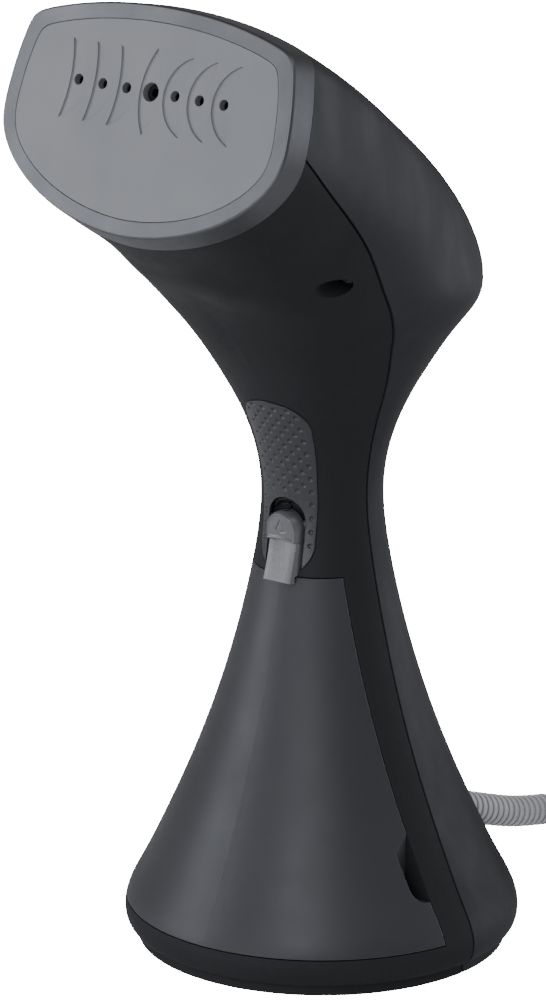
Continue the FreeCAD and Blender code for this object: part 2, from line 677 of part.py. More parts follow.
def notch(side, grow):
    """The finger notch in one side edge of the tank, or its surround when it grows by a wall."""
    low, high, front_y = notch_low - grow, notch_top + grow, notch_front - grow
    rounding = NOTCH_ROUNDING + grow
    points = [(0.0, low), (0.0, high)]
    for centre_z, start in ((high - rounding, 90), (low + rounding, 180)):
        for step in range(NOTCH_STEPS + 1):
            angle = math.radians(start + 90 * step / NOTCH_STEPS)
            points.append((front_y + rounding * (1 + math.cos(angle)), centre_z + rounding * math.sin(angle)))
    prism = side_prism(points, 60.0)
    start_x = notch_floor - grow if side > 0 else grow - notch_floor - 40
    return prism.common(Part.makeBox(40, 80, 200, Vector(start_x, -60, 0)))


notches = Part.makeCompound([notch(side, 0.0) for side in SIDES])
surrounds = Part.makeCompound([notch(side, tank_wall) for side in SIDES])
back_slab_front = bay_prism(-size("tank_back_wall"))
hollow = form(tank_wall).common(bay_prism(0.0))
hollow = hollow.common(Part.makeBox(2 * FAR, 2 * FAR, size("tank_top") - size("tank_bottom") - 2 * tank_wall,
                                    Vector(-FAR, -FAR, size("tank_bottom") + tank_wall)))
hollow = hollow.cut(surrounds)
keep(feature(tank_form.cut(hollow).cut(notches)), "tank_shell")

back_wall = form(tank_wall + 0.05).common(bay_prism(0.0)).cut(back_slab_front).cut(surrounds)
back_wall = back_wall.common(Part.makeBox(2 * FAR, 2 * FAR,
                                          size("tank_top") - size("tank_bottom") - 2 * tank_wall - 0.1,
                                          Vector(-FAR, -FAR, size("tank_bottom") + tank_wall + 0.05)))
filler_radius = size("filler_radius")
outlet_radius = size("outlet_radius")
back_wall = back_wall.cut(Part.makeCylinder(filler_radius - 1.5, 40, Vector(0, -30, filler_z), Y_AXIS))
boss_start = Vector(DOCK_X, bay_back(outlet_z) - 8.6, outlet_z)
outlet_boss = Part.makeCylinder(outlet_radius, 8.0, boss_start, Y_AXIS)
back_wall = back_wall.fuse(outlet_boss)
back_wall = back_wall.cut(Part.makeCylinder(4.3, 40, Vector(DOCK_X, -40, outlet_z), Y_AXIS))
keep(feature(back_wall), "tank_back")

filler = new_body("tank_plug")
turned(filler, [(0.0, 0.0), ("sizes.filler_radius - 1.6", 0.0), ("sizes.filler_radius - 1.6", 2.6),
                ("sizes.filler_radius", 2.6), ("sizes.filler_radius", 3.5), (0.0, 3.5)])
place(filler, 0.0, bay_back(filler_z) - 2.2, "sizes.filler_height", ALONG_Y)

outlet_seal = new_body("tank_seal")
turned(outlet_seal, [(2.55, 0.0), (4.25, 0.0), (4.25, 5.5), (2.55, 5.5)])
place(outlet_seal, DOCK_X, bay_back(outlet_z) - 7.2, "sizes.outlet_height", ALONG_Y)

dock = new_body("dock_nozzle")
turned(dock, [(1.2, 0.0), (2.3, 0.0), (2.3, 4.6), (3.4, 4.6), (3.4, 7.0), (5.0, 7.0), (5.0, 9.0), (2.5, 9.0),
              (2.5, 13.0), (1.2, 13.0)])
DOCK_START = bay_back(outlet_z) + size("tank_gap") + 2.2 + 0.05 - 7.0
place(dock, DOCK_X, DOCK_START, "sizes.outlet_height", ALONG_Y)

# ---------------------------------------------------------------- steam head

ROUNDING = [(0.0, 0.55), (0.15, 0.24), (0.5, 0.04), (1.1, 0.0), (5.0, 0.0), (size("bezel_depth") - 0.12, 0.0)]
STEP_DEPTH, STEP_INSET = 2.0, 6.0
bezel_ring = size("bezel_ring")
bezel = skinned_solid([plate_points(inset, depth) for depth, inset in ROUNDING])
spigot = head_prism(3.6, size("bezel_depth") - 0.5, size("bezel_depth") + 3.0)
bezel = bezel.fuse(spigot.common(form(size("wall") + 0.25, 1.5)))
bezel = bezel.cut(head_prism(bezel_ring, -1.0, STEP_DEPTH)).cut(head_prism(STEP_INSET, 1.0, 14.0))
keep(feature(bezel), "head_bezel")


def plate_arc(tip, middle, lift):
    """An arc on the plate through a top tip, a middle point and the tip's mirror image below."""
    across, up = tip
    return Part.Arc(on_plate(across, up, lift), on_plate(middle, 0, lift), on_plate(across, -up, lift))


def channel(tip, near_side, far_side):
    """A crescent recess in the plate's face between two arcs that meet at its tips."""
    edges = [plate_arc(tip, near_side, -0.5).toShape(), plate_arc(tip, far_side, -0.5).toShape()]
    return Part.Face(Part.Wire(edges)).extrude(PLATE_OUT * (-0.5 - size("channel_depth")))


fit = size("plate_fit")
plate = head_prism(bezel_ring + fit, 0.0, STEP_DEPTH)
plate = plate.fuse(head_prism(STEP_INSET + fit, STEP_DEPTH - 0.5, size("plate_thickness")))
channels = [channel((0.0, 12.3), -3.4, 3.4)]
holes = []
for number in range(-3, 4):
    x = number * size("hole_pitch")
    radius = size("hole_radius") if number else size("centre_hole_radius")
    holes.append(Part.makeCylinder(radius, 20, on_plate(x, 0, 10), PLATE_OUT))
    if number:
        side = math.copysign(1, number)
        channels.append(channel((x + 4.2 * side, 11.3), x - 3.7 * side, x + 2.6 * side))
plate = plate.cut(Part.makeCompound(channels)).cut(Part.makeCompound(holes))
keep(feature(plate), "steam_plate")

BOILER_INSET, CHAMBER_INSET = 7.6, 12.0
BOILER_BACK, GASKET, COVER = 15.0, 1.0, 2.5
plate_back = size("plate_thickness")
boiler = head_prism(BOILER_INSET, plate_back, BOILER_BACK).cut(head_prism(CHAMBER_INSET, 7.0, 16.0))
BOILER_LUGS = ((39.6, -11.0), (37.6, 8.0), (20.0, -27.9))
boiler_screw_spots = [(side * x, up) for side in SIDES for x, up in BOILER_LUGS]
screw_holes = [Part.makeCylinder(1.15, 40, on_plate(x, up, 40), PLATE_OUT) for x, up in boiler_screw_spots]
screw_holes = Part.makeCompound(screw_holes)
blind = head_prism(BOILER_INSET - 1.0, 8.0, 40.0)
ports = Part.makeCompound([Part.makeCylinder(1.3, 12, on_plate(n * size("hole_pitch"), 0, 12), PLATE_OUT)
                           for n in range(-3, 4)])
keep(feature(boiler.cut(ports).cut(screw_holes.common(blind))), "boiler_body")
gasket = head_prism(BOILER_INSET, BOILER_BACK, BOILER_BACK + GASKET)
gasket = gasket.cut(head_prism(CHAMBER_INSET, 14.0, 17.0)).cut(screw_holes)
keep(feature(gasket), "boiler_gasket")
cover_back = BOILER_BACK + GASKET + COVER
INLET_SPOT = (-8.0, -25.0)
boiler_lid = head_prism(BOILER_INSET, BOILER_BACK + GASKET, cover_back)
boiler_lid = boiler_lid.fuse(Part.makeCylinder(2.5, 8.0, on_plate(*INLET_SPOT, cover_back + 7.5), PLATE_OUT))
boiler_lid = boiler_lid.cut(Part.makeCylinder(1.2, 20, on_plate(*INLET_SPOT, cover_back + 10), PLATE_OUT))
keep(feature(boiler_lid.cut(screw_holes)), "boiler_cover")


def screw(at, way, shaft_radius, length, head_radius, head_height):
    """A screw whose head sits on a point and whose shaft runs along a way, with a cross recess."""
    turn = Rotation(Z_AXIS, way)
    head = Part.makeCylinder(head_radius, head_height, -Z_AXIS * head_height)
    shape = Part.makeCylinder(shaft_radius, length).fuse(head)
    for angle in (0, 90):
        blade = Part.makeBox(head_radius * 1.3, head_radius * 0.28, head_height * 0.55,
                             Vector(-head_radius * 0.65, -head_radius * 0.14, -head_height))
        blade.rotate(Vector(), Z_AXIS, angle)
        shape = shape.cut(blade)
    shape.Placement = Placement(at, turn)
    return shape


def screws(label, spots, way, *sizes_of_screw):
    keep(feature(Part.makeCompound([screw(at, way, *sizes_of_screw) for at in spots])), label)


screws("boiler_screws", [on_plate(x, up, cover_back) for x, up in boiler_screw_spots], PLATE_OUT,
       1.1, 10.0, 2.0, 1.6)
screws("housing_screws", [screw_line(side, SCREW_SEAT) for side in SIDES], SCREW_WAY, 1.15, 16.0, 2.6, 2.0)

# the heating element is a bent rod on the cover, with a thin terminal at each end
ELEMENT_RADIUS, LEG_HIGH, LEG_LOW, LEG_START, BEND_START = 3.2, 8.0, -14.0, -30.0, 22.0
element_depth = cover_back + ELEMENT_RADIUS
bend_radius = (LEG_HIGH - LEG_LOW) / 2
bend_middle = on_plate(BEND_START + bend_radius, (LEG_HIGH + LEG_LOW) / 2, element_depth)
element_path = Part.Wire([
    Part.LineSegment(on_plate(LEG_START, LEG_HIGH, element_depth),
                     on_plate(BEND_START, LEG_HIGH, element_depth)).toShape(),
    Part.Arc(on_plate(BEND_START, LEG_HIGH, element_depth), bend_middle,
             on_plate(BEND_START, LEG_LOW, element_depth)).toShape(),
    Part.LineSegment(on_plate(BEND_START, LEG_LOW, element_depth),
                     on_plate(LEG_START, LEG_LOW, element_depth)).toShape()])
element_start = on_plate(LEG_START, LEG_HIGH, element_depth)
element_end = Part.Wire([Part.Circle(element_start, X_AXIS, ELEMENT_RADIUS).toShape()])
element = element_path.makePipeShell([element_end], True, False)
pins = [Part.makeCylinder(1.1, 6.0, on_plate(LEG_START - 6.0, up, element_depth), X_AXIS)
        for up in (LEG_HIGH, LEG_LOW)]
keep(feature(element.fuse(pins)), "heating_element")

THERMOSTAT_SPOT, THERMOSTAT_HEIGHT = (8.0, -3.0), 8.0
thermostat = new_body("thermostat")
turned(thermostat, [(0.0, 0.0), (7.0, 0.0), (7.0, 3.5), (5.8, 4.0), (5.8, THERMOSTAT_HEIGHT),
                    (0.0, THERMOSTAT_HEIGHT)])
thermostat.Placement = Placement(on_plate(*THERMOSTAT_SPOT, cover_back), INTO_HEAD)
FUSE_RADIUS = 2.1
fuse = Part.makeCylinder(FUSE_RADIUS, 13.0, on_plate(-19.0, -3.0, cover_back + FUSE_RADIUS), X_AXIS)
leads = Part.makeCylinder(0.6, 21.0, on_plate(-23.0, -3.0, cover_back + FUSE_RADIUS), X_AXIS)
keep(feature(fuse.fuse(leads)), "thermal_fuse")

# ---------------------------------------------------------------- base

base_cover = new_body("base_cover")
cover_top = size("plinth_lift") + 0.2 + size("cover_thickness")
pad_circle(base_cover, "XY_Plane", "sizes.cover_radius", "sizes.cover_thickness", "sizes.plinth_lift + 0.2")
groove_sketch = sketch_on(base_cover, "XY_Plane", "sizes.plinth_lift + 0.2")
draw_circle(groove_sketch, "sizes.foot_outer + 0.1")
draw_circle(groove_sketch, "sizes.foot_inner - 0.1")
groove = base_cover.newObject("PartDesign::Pocket", "groove")
groove.Profile = groove_sketch
groove.Reversed = True
groove.setExpression("Length", "sizes.foot_height - sizes.plinth_lift - 0.2")
doc.recompute()
CLAMP_Y, CLAMP_HALF_WIDTH, CLAMP_DEPTH = 37.0, 11.0, 6.0
lead_radius = size("cord_radius") - 0.2
clamp_near, clamp_far = CLAMP_Y - CLAMP_DEPTH / 2, CLAMP_Y + CLAMP_DEPTH / 2
clamp_outline = [(-CLAMP_HALF_WIDTH, clamp_near), (CLAMP_HALF_WIDTH, clamp_near),
                 (CLAMP_HALF_WIDTH, clamp_far), (-CLAMP_HALF_WIDTH, clamp_far)]
pad(base_cover, "XY_Plane", clamp_outline, exit_z - 0.2 - cover_top + 0.5, cover_top - 0.5)
bore(base_cover, "XZ_Plane", "sizes.cord_radius - 0.1", CLAMP_DEPTH + 2.0, [(0.0, "sizes.exit_z")],
     -(clamp_far + 1.0), True)
CLAMP_SCREWS = [(-8.0, CLAMP_Y), (8.0, CLAMP_Y)]
bore(base_cover, "XY_Plane", "0.9 mm", 9.0, CLAMP_SCREWS, "sizes.exit_z")
BASE_SPOTS = FRONT_POSTS + REAR_POSTS
bore(base_cover, "XY_Plane", "1.6 mm", 5.0, BASE_SPOTS, "sizes.plinth_lift + 0.3 + sizes.cover_thickness")
bore(base_cover, "XY_Plane", "3 mm", 1.4, BASE_SPOTS, "sizes.plinth_lift + 0.2", True)

foot_ring = keep(boolean("Cut", cylinder("sizes.foot_outer", "sizes.foot_height"),
                         cylinder("sizes.foot_inner", "sizes.foot_height + 2", z=-1.0)), "foot_ring")

# ---------------------------------------------------------------- pump

pump_y = size("pump_y")
pump = new_body("pump_body")
turned(pump, [(0.0, "sizes.pump_bottom"), ("sizes.pump_radius", "sizes.pump_bottom"),
              ("sizes.pump_radius", "sizes.coil_bottom - 0.1"), (8.0, "sizes.coil_bottom - 0.1"),
              (8.0, "sizes.coil_bottom + sizes.coil_height + 0.1"),
              (9.5, "sizes.coil_bottom + sizes.coil_height + 0.1"), (9.5, "sizes.pump_top"),
              (2.5, "sizes.pump_top"), (2.5, "sizes.pump_top + 6"), (0.0, "sizes.pump_top + 6")])
pad_circle(pump, "YZ_Plane", "sizes.hose_radius", 6.0, -14.5, 0.0, "sizes.outlet_height")
place(pump, 0.0, "sizes.pump_y")
coil_block = box("sizes.coil_width", "sizes.coil_depth", "sizes.coil_height", "-sizes.coil_width / 2",
                 "sizes.pump_y - sizes.coil_depth / 2", "sizes.coil_bottom")
coil = boolean("Cut", coil_block, cylinder(8.05, 60.0, 0.0, "sizes.pump_y", 10.0))
keep(coil, "pump_coil")
mount_block = cylinder("sizes.mount_radius", "sizes.pump_bottom - 3.2", 0.0, "sizes.pump_y", 3.2)
mount_low = boolean("Cut", mount_block, cylinder(5.0, 20.0, 0.0, "sizes.pump_y", 2.0))
keep(mount_low, "pump_mount")

# ---------------------------------------------------------------- control board

board = new_body("control_board")
half_board = "sizes.board_width / 2"
pad(board, "XZ_Plane", [("-sizes.board_width / 2", "sizes.board_bottom"), (half_board, "sizes.board_bottom"),
                        (half_board, "sizes.board_bottom + sizes.board_height"),
                        ("-sizes.board_width / 2", "sizes.board_bottom + sizes.board_height")],
    "sizes.board_thickness", "-sizes.board_y")
bore(board, "XZ_Plane", "1.2 mm", 4.0, BOARD_POSTS, "-sizes.board_y - 1", True)
board_y = size("board_y")
PARTS_ON_BOARD = [(-20.0, 42.0, 14.0, 5.4, 12.0), (13.0, 41.0, 9.0, 5.0, 8.0), (5.7, 72.0, 10.0, 4.0, 8.0),
                  (4.0, 56.0, 12.0, 4.6, 13.0), (-3.0, 44.0, 6.0, 1.2, 6.0), (-15.0, 70.0, 9.0, 2.0, 4.0)]
board_parts = [Part.makeBox(wide, deep, tall, Vector(x, board_y, z))
               for x, z, wide, deep, tall in PARTS_ON_BOARD]
board_parts += [Part.makeCylinder(2.6, 11.0, Vector(x, board_y + 2.6, 57.0)) for x in (-16.0, -9.0)]
keep(feature(Part.makeCompound(board_parts)), "board_components")
screws("board_screws", [Vector(x, board_y, z) for x, z in BOARD_POSTS], -Y_AXIS, 0.85, 6.0, 1.9, 1.3)

# ---------------------------------------------------------------- steam button

button_form = form(-size("button_proud"))
button = slot_prism(button_half, button_low, button_high, 14.6, 60).common(button_form)
button_hollow = slot_prism(button_half - 1.8, button_low + 1.8, button_high - 1.8, 14.0, 60)
button = button.cut(button_hollow.common(form(2.0 - size("button_proud"))))
button = button.fuse(slot_prism(button_half + 1.2, button_low - 1.4, button_high + 1.4, 13.2, 14.6))
button = button.fuse(Part.makeCylinder(1.9, 6.0, Vector(0, 13.2, 163.0), Y_AXIS).common(button_form))
keep(feature(button), "steam_button")
keep(feature(spring(size("button_spring_radius"), size("button_spring_wire"), 13.2 - BRACKET_FACE - 0.1, 6,
                    Vector(0, BRACKET_FACE + 0.05, 163.0), ALONG_Y)), "button_spring")
bracket = new_body("switch_bracket")
pad(bracket, "XZ_Plane", [(-8.0, 137.3), (8.0, 137.3), (8.0, 177.0), (-8.0, 177.0)], BRACKET_THICKNESS,
    -BRACKET_FACE)
bore(bracket, "XZ_Plane", "1.2 mm", 6.0, [(0.0, z) for z in BRACKET_POSTS], -BRACKET_FACE - 1.0, True)
screws("bracket_screws", [Vector(0, BRACKET_FACE - BRACKET_THICKNESS, z) for z in BRACKET_POSTS], Y_AXIS,
       0.85, 8.0, 1.9, 1.3)
microswitch = new_body("microswitch")
pad(microswitch, "XZ_Plane", [(-2.9, 144.5), (2.9, 144.5), (2.9, 157.3), (-2.9, 157.3)], 5.6,
    -BRACKET_FACE, True)
pad_circle(microswitch, "XZ_Plane", "1.1 mm", 1.0, -(BRACKET_FACE + 5.2), 0.0, 149.0, True)

lens = new_body("indicator_lens")
turned(lens, [(0.0, 0.0), (2.2, 0.0), (2.2, 4.6), (1.4, 5.1), (0.0, 5.3)])
LENS_START = front_radius(INDICATOR_Z) - 4.6
place(lens, 0.0, LENS_START, INDICATOR_Z, ALONG_Y)
led = new_body("indicator_led")
turned(led, [(0.0, 0.0), (1.9, 0.0), (1.9, 0.8), (1.5, 0.8), (1.5, 2.6), (0.0, 3.8)])
place(led, 0.0, LENS_START - 3.85, INDICATOR_Z, ALONG_Y)

# ---------------------------------------------------------------- hoses and wiring inside

hose_radius = size("hose_radius")
nozzle_end = DOCK_START + 13.0
inlet_route = [(DOCK_X, nozzle_end, outlet_z), (DOCK_X, pump_y, outlet_z), (-14.5, pump_y, outlet_z)]
inlet_hose, _ = hose("inlet_hose", inlet_route, hose_radius)
keep(feature(inlet_hose), "inlet_hose")
spigot = on_plate(*INLET_SPOT, cover_back + 7.5)
outlet_route = [spigot, spigot - PLATE_OUT * 13, (-8, -38, 214), (-8.5, -16, 183), (-8.5, -5, 150),
                (-8.5, -3, 122),
                (-5, 7, 99), (0, pump_y, 87), (0, pump_y, size("pump_top") + 6)]
outlet_hose, _ = hose("outlet_hose", outlet_route, hose_radius)
keep(feature(outlet_hose), "outlet_hose")
loom_end = on_plate(*THERMOSTAT_SPOT, cover_back + THERMOSTAT_HEIGHT)
loom_route = [(10.7, board_y + 2.25, 80), (10.7, board_y + 2.25, 97), (8.5, -2, 120), (8.5, -3, 150),
              (9, -14, 184),
              (9.5, -30, 226), loom_end - PLATE_OUT * 12, loom_end]
loom, _ = hose("wire_loom", loom_route, size("loom_radius"))
keep(feature(loom), "wire_loom")
exit_y = size("exit_y")
FLANGE = 1.9
lead_route = [(0, exit_y - FLANGE, exit_z), (0, 29.2, exit_z), (11.5, 29.4, 24.5), (20.5, 20.5, 28.5),
              (18.6, 7.5, 45), (18.6, board_y + 5.0, 45)]
inner_lead, _ = hose("inner_lead", lead_route, lead_radius)
keep(feature(inner_lead), "inner_lead")

# ---------------------------------------------------------------- cord anchorage

clamp = new_body("cord_clamp")
pad(clamp, "XY_Plane", clamp_outline, 6.0, "sizes.exit_z + 0.2")
bore(clamp, "XZ_Plane", "sizes.cord_radius - 0.1", CLAMP_DEPTH + 2.0, [(0.0, "sizes.exit_z")],
     -(clamp_far + 1.0), True)
bore(clamp, "XY_Plane", "1.2 mm", 12.0, CLAMP_SCREWS, "sizes.exit_z + 8")
screws("clamp_screws", [Vector(x, y, exit_z + 6.2) for x, y in CLAMP_SCREWS], -Z_AXIS, 0.85, 12.0, 2.0, 1.5)
screws("base_screws", [Vector(x, y, size("plinth_lift") + 1.6) for x, y in BASE_SPOTS], Z_AXIS,
       1.15, 7.0, 2.5, 1.2)

SLEEVE_ROUTE = [(0, exit_y, exit_z), (0, 57, exit_z - 0.3), (0, 72, 18.8), (0, 88, 12.9), (0, 103, 8.0),
                (0, 117, 5.0)]
sleeve, sleeve_path = hose("strain_relief", SLEEVE_ROUTE, size("sleeve_core"))


def along(path, distance):
    """The point and heading at a distance along a path."""
    for edge in path.Edges:
        if distance <= edge.Length:
            parameter = edge.getParameterByLength(distance)
            return edge.valueAt(parameter), edge.tangentAt(parameter)
        distance -= edge.Length
    last = path.Edges[-1]
    return last.valueAt(last.LastParameter), last.tangentAt(last.LastParameter)


RIB_START = 14.4
rib_count = int((sleeve_path.Length - RIB_START) / size("rib_pitch"))
ribs = []
for number in range(rib_count):
    spot, heading = along(sleeve_path, RIB_START + number * size("rib_pitch"))
    rib_radius = size("sleeve_radius") + 0.1 - 0.3 * number / rib_count
    rib_start = spot - heading * (size("rib_width") / 2)
    ribs.append(Part.makeCylinder(rib_radius, size("rib_width"), rib_start, heading))
sleeve = sleeve.fuse(ribs + [Part.makeCylinder(7.0, FLANGE, Vector(0, exit_y - FLANGE, exit_z), Y_AXIS)])
keep(feature(sleeve), "strain_relief")

# ---------------------------------------------------------------- mains cord, put away in a coil at the back

cord_radius = size("cord_radius")
coil_x, coil_y, coil_top = size("coil_x"), size("coil_y"), size("coil_top")
coil_inner, coil_outer = size("coil_inner"), size("coil_outer")
TIE_ANGLE, TIE_WIDTH, TIE_THICKNESS, COIL_ROUND = -40.0, 10.0, 0.9, 4.0


def ring_spot(degrees, z, radius=(coil_inner + coil_outer) / 2):
    """A point over the coil, by its angle round the coil's centre."""
    angle = math.radians(degrees)
    return Vector(coil_x + radius * math.cos(angle), coil_y + radius * math.sin(angle), z)


coil_corners = [Vector(coil_inner + COIL_ROUND, 0, 0), Vector(coil_outer - COIL_ROUND, 0, 0),
                Vector(coil_outer, 0, COIL_ROUND), Vector(coil_outer, 0, coil_top - COIL_ROUND),
                Vector(coil_outer - COIL_ROUND, 0, coil_top), Vector(coil_inner + COIL_ROUND, 0, coil_top),
                Vector(coil_inner, 0, coil_top - COIL_ROUND), Vector(coil_inner, 0, COIL_ROUND)]
coil_face = Part.Face(Part.makePolygon(coil_corners + coil_corners[:1]))
cord_coil = coil_face.revolve(Vector(), Z_AXIS, 360.0)
tie_outer = Part.makeBox(coil_outer - coil_inner + 1.6, TIE_WIDTH, coil_top + 0.8,
                         Vector(coil_inner - 0.8, -TIE_WIDTH / 2, 0))
tie_inner = Part.makeBox(coil_outer - coil_inner, TIE_WIDTH + 2, coil_top - TIE_THICKNESS,
                         Vector(coil_inner, -TIE_WIDTH / 2 - 1, TIE_THICKNESS))
tie = tie_outer.cut(tie_inner)
for shape in (cord_coil, tie):
    shape.rotate(Vector(), Z_AXIS, TIE_ANGLE)
    shape.translate(Vector(coil_x, coil_y, 0))
cord_coil = cord_coil.cut(tie)
keep(feature(cord_coil), "cord_coil")
keep(feature(tie), "cord_tie")

cord_route = [SLEEVE_ROUTE[-1], (0, 123.5, 3.6), (1.2, 130, 3.7)]
cord_tube, cord_path = hose("mains_cord", cord_route, cord_radius)
keep(feature(cord_tube.cut(cord_coil)), "mains_cord")
plug_z = coil_top + size("plug_thick") / 2 + 0.1
plug_y = coil_y + (coil_inner + coil_outer) / 2
PLUG_START, PLUG_RELIEF = coil_x + 10.0, 16.0
tail_route = [ring_spot(168, 13), ring_spot(146, 20.5), (14.5, coil_y + 31.5, 26.4),
              (PLUG_START - PLUG_RELIEF - 11, plug_y, plug_z), (PLUG_START - PLUG_RELIEF, plug_y, plug_z)]
cord_tail, tail_path = hose("cord_tail", tail_route, cord_radius)
keep(feature(cord_tail.cut(cord_coil)), "cord_tail")

plug_case = doc.addObject("PartDesign::Body", "plug_case")
half_thick, half_wide = size("plug_thick") / 2, size("plug_width") / 2
PLUG_CUT = 3.0
plug_corner = [(half_wide - PLUG_CUT, half_thick), (half_wide, half_thick - PLUG_CUT)]
plug_right = [(x, -z) for x, z in plug_corner] + [(x, z) for x, z in reversed(plug_corner)]
plug_outline = plug_right + [(-x, z) for x, z in reversed(plug_right)]
pad(plug_case, "YZ_Plane", plug_outline, "sizes.plug_length")
place(plug_case, PLUG_START, plug_y, plug_z)
relief = doc.addObject("Part::Cone", "relief")
bind(relief, Radius1="sizes.cord_radius + 0.6", Radius2="sizes.cord_radius + 2.6", Height=PLUG_RELIEF + 1.0)
place(relief, PLUG_START - PLUG_RELIEF, plug_y, plug_z, ALONG_X)
keep(boolean("Fuse", plug_case, relief), "plug_body")
BLADE_LENGTH, BLADE_THICK, BLADE_WIDE, BLADE_OFFSET = 17.0, 1.5, 6.3, 6.35
blades = [box(BLADE_LENGTH, BLADE_THICK, BLADE_WIDE, PLUG_START + size("plug_length"),
              plug_y + side * BLADE_OFFSET - BLADE_THICK / 2, plug_z - BLADE_WIDE / 2) for side in SIDES]
keep(compound(blades), "plug_pins")

# ---------------------------------------------------------------- check and write

doc.recompute()
for obj in doc.Objects:
    if "Invalid" in obj.State or "Error" in obj.State:
        raise RuntimeError(f"{obj.Label} failed: {obj.State}")
labels = [obj.Label for obj in sub_parts]
if len(set(labels)) != len(labels):
    raise RuntimeError("two sub-parts share a label")
for obj in sub_parts:
    if obj.Shape.isNull() or not obj.Shape.isValid() or not obj.Shape.Solids:
        raise RuntimeError(f"{obj.Label} has no valid shape")
os.makedirs("parts", exist_ok=True)
for obj in sub_parts:
    obj.Shape.exportStep(f"parts/{obj.Label}.step")
print(f"{len(sub_parts)} sub-parts written")
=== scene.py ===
"""Looks of a handheld garment steamer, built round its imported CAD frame.

Lengths are in metres, except where a name or comment says millimetres.
"""
import json
import math

import bpy
from mathutils import Matrix, Vector


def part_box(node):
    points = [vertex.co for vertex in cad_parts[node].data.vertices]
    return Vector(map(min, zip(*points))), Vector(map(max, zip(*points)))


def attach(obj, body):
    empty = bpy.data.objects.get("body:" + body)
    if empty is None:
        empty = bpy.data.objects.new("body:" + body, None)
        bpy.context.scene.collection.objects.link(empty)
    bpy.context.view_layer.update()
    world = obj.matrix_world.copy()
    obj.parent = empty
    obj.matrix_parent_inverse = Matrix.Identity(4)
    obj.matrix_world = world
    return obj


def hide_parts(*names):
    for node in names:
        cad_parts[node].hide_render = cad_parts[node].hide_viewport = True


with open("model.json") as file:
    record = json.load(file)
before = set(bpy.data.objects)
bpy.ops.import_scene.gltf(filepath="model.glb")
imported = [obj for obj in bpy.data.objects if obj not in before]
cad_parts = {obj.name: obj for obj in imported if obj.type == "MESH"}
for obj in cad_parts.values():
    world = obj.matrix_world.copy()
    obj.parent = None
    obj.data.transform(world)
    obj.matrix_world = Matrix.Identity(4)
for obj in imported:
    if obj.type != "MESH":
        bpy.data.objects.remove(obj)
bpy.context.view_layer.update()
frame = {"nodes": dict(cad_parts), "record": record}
nodes = frame["nodes"]
MM = 0.001
scene = bpy.context.scene

# ---------------------------------------------------------------- camera

AZIMUTH, ELEVATION = math.radians(36.93), math.radians(17.17)
CAMERA_DISTANCE = 2.0
AIM_ACROSS, AIM_UP = -0.0144, 0.1282
LENS_MM, SENSOR_MM = 242.0, 36.0
FAR_CLIP = 20.0

camera_right = Vector((math.cos(AZIMUTH), math.sin(AZIMUTH), 0))
camera_back = Vector((math.sin(AZIMUTH) * math.cos(ELEVATION), -math.cos(AZIMUTH) * math.cos(ELEVATION),
                      math.sin(ELEVATION)))
camera_up = camera_back.cross(camera_right)
camera = bpy.data.objects.new("camera", bpy.data.cameras.new("camera"))
scene.collection.objects.link(camera)
camera.data.lens = LENS_MM
camera.data.sensor_width = SENSOR_MM
camera.data.clip_end = FAR_CLIP
camera_turn = Matrix((camera_right, camera_up, camera_back)).transposed()
camera_spot = camera_back * CAMERA_DISTANCE + camera_right * AIM_ACROSS + camera_up * AIM_UP
camera.matrix_world = Matrix.Translation(camera_spot) @ camera_turn.to_4x4()
scene.camera = camera


# ---------------------------------------------------------------- node helpers

EDGE_SAMPLES, HOLLOW_SAMPLES = 6, 8
EDGE_TURNED, EDGE_FLAT = 0.93, 0.995    # how far two normals agree on an edge and beside it


def new_material(name):
    """A material with its node tree and its shader node."""
    made = bpy.data.materials.new(name)
    made.use_nodes = True
    return made, made.node_tree, made.node_tree.nodes["Principled BSDF"]


def link(tree, source, target):
    tree.links.new(source, target)


def noise(tree, scale, detail=2.0, roughness=0.5, stretch=None):
    """A noise value over the piece's own coordinates; stretch scales each axis."""
    coordinates = tree.nodes.new("ShaderNodeTexCoord").outputs["Object"]
    if stretch:
        mapping = tree.nodes.new("ShaderNodeMapping")
        mapping.inputs["Scale"].default_value = stretch
        link(tree, coordinates, mapping.inputs["Vector"])
        coordinates = mapping.outputs["Vector"]
    texture = tree.nodes.new("ShaderNodeTexNoise")
    texture.inputs["Scale"].default_value = scale
    texture.inputs["Detail"].default_value = detail
    texture.inputs["Roughness"].default_value = roughness
    link(tree, coordinates, texture.inputs["Vector"])
    return texture.outputs["Fac"]


def spread(tree, value, low, high, at_low=0.3, at_high=0.7):
    """A value mapped from one range to another, clamped at both ends."""
    mapped = tree.nodes.new("ShaderNodeMapRange")
    mapped.inputs["From Min"].default_value = at_low
    mapped.inputs["From Max"].default_value = at_high
    mapped.inputs["To Min"].default_value = low
    mapped.inputs["To Max"].default_value = high
    link(tree, value, mapped.inputs["Value"])
    return mapped.outputs["Result"]


def blend_colour(tree, factor, first, second):
    """A mix of two colours, each a plain colour or a socket."""
    mix = tree.nodes.new("ShaderNodeMix")
    mix.data_type = "RGBA"
    for socket, colour in ((mix.inputs["A"], first), (mix.inputs["B"], second)):
        if isinstance(colour, tuple):
            socket.default_value = (*colour, 1.0)
        else:
            link(tree, colour, socket)
    link(tree, factor, mix.inputs["Factor"])
    return mix.outputs["Result"]


def bump(tree, height, distance, normal=None):
    """A normal raised by a height value, on top of another normal if there is one."""
    made = tree.nodes.new("ShaderNodeBump")
    made.inputs["Distance"].default_value = distance
    made.inputs["Strength"].default_value = 1.0
    link(tree, height, made.inputs["Height"])
    if normal is not None:
        link(tree, normal, made.inputs["Normal"])
    return made.outputs["Normal"]


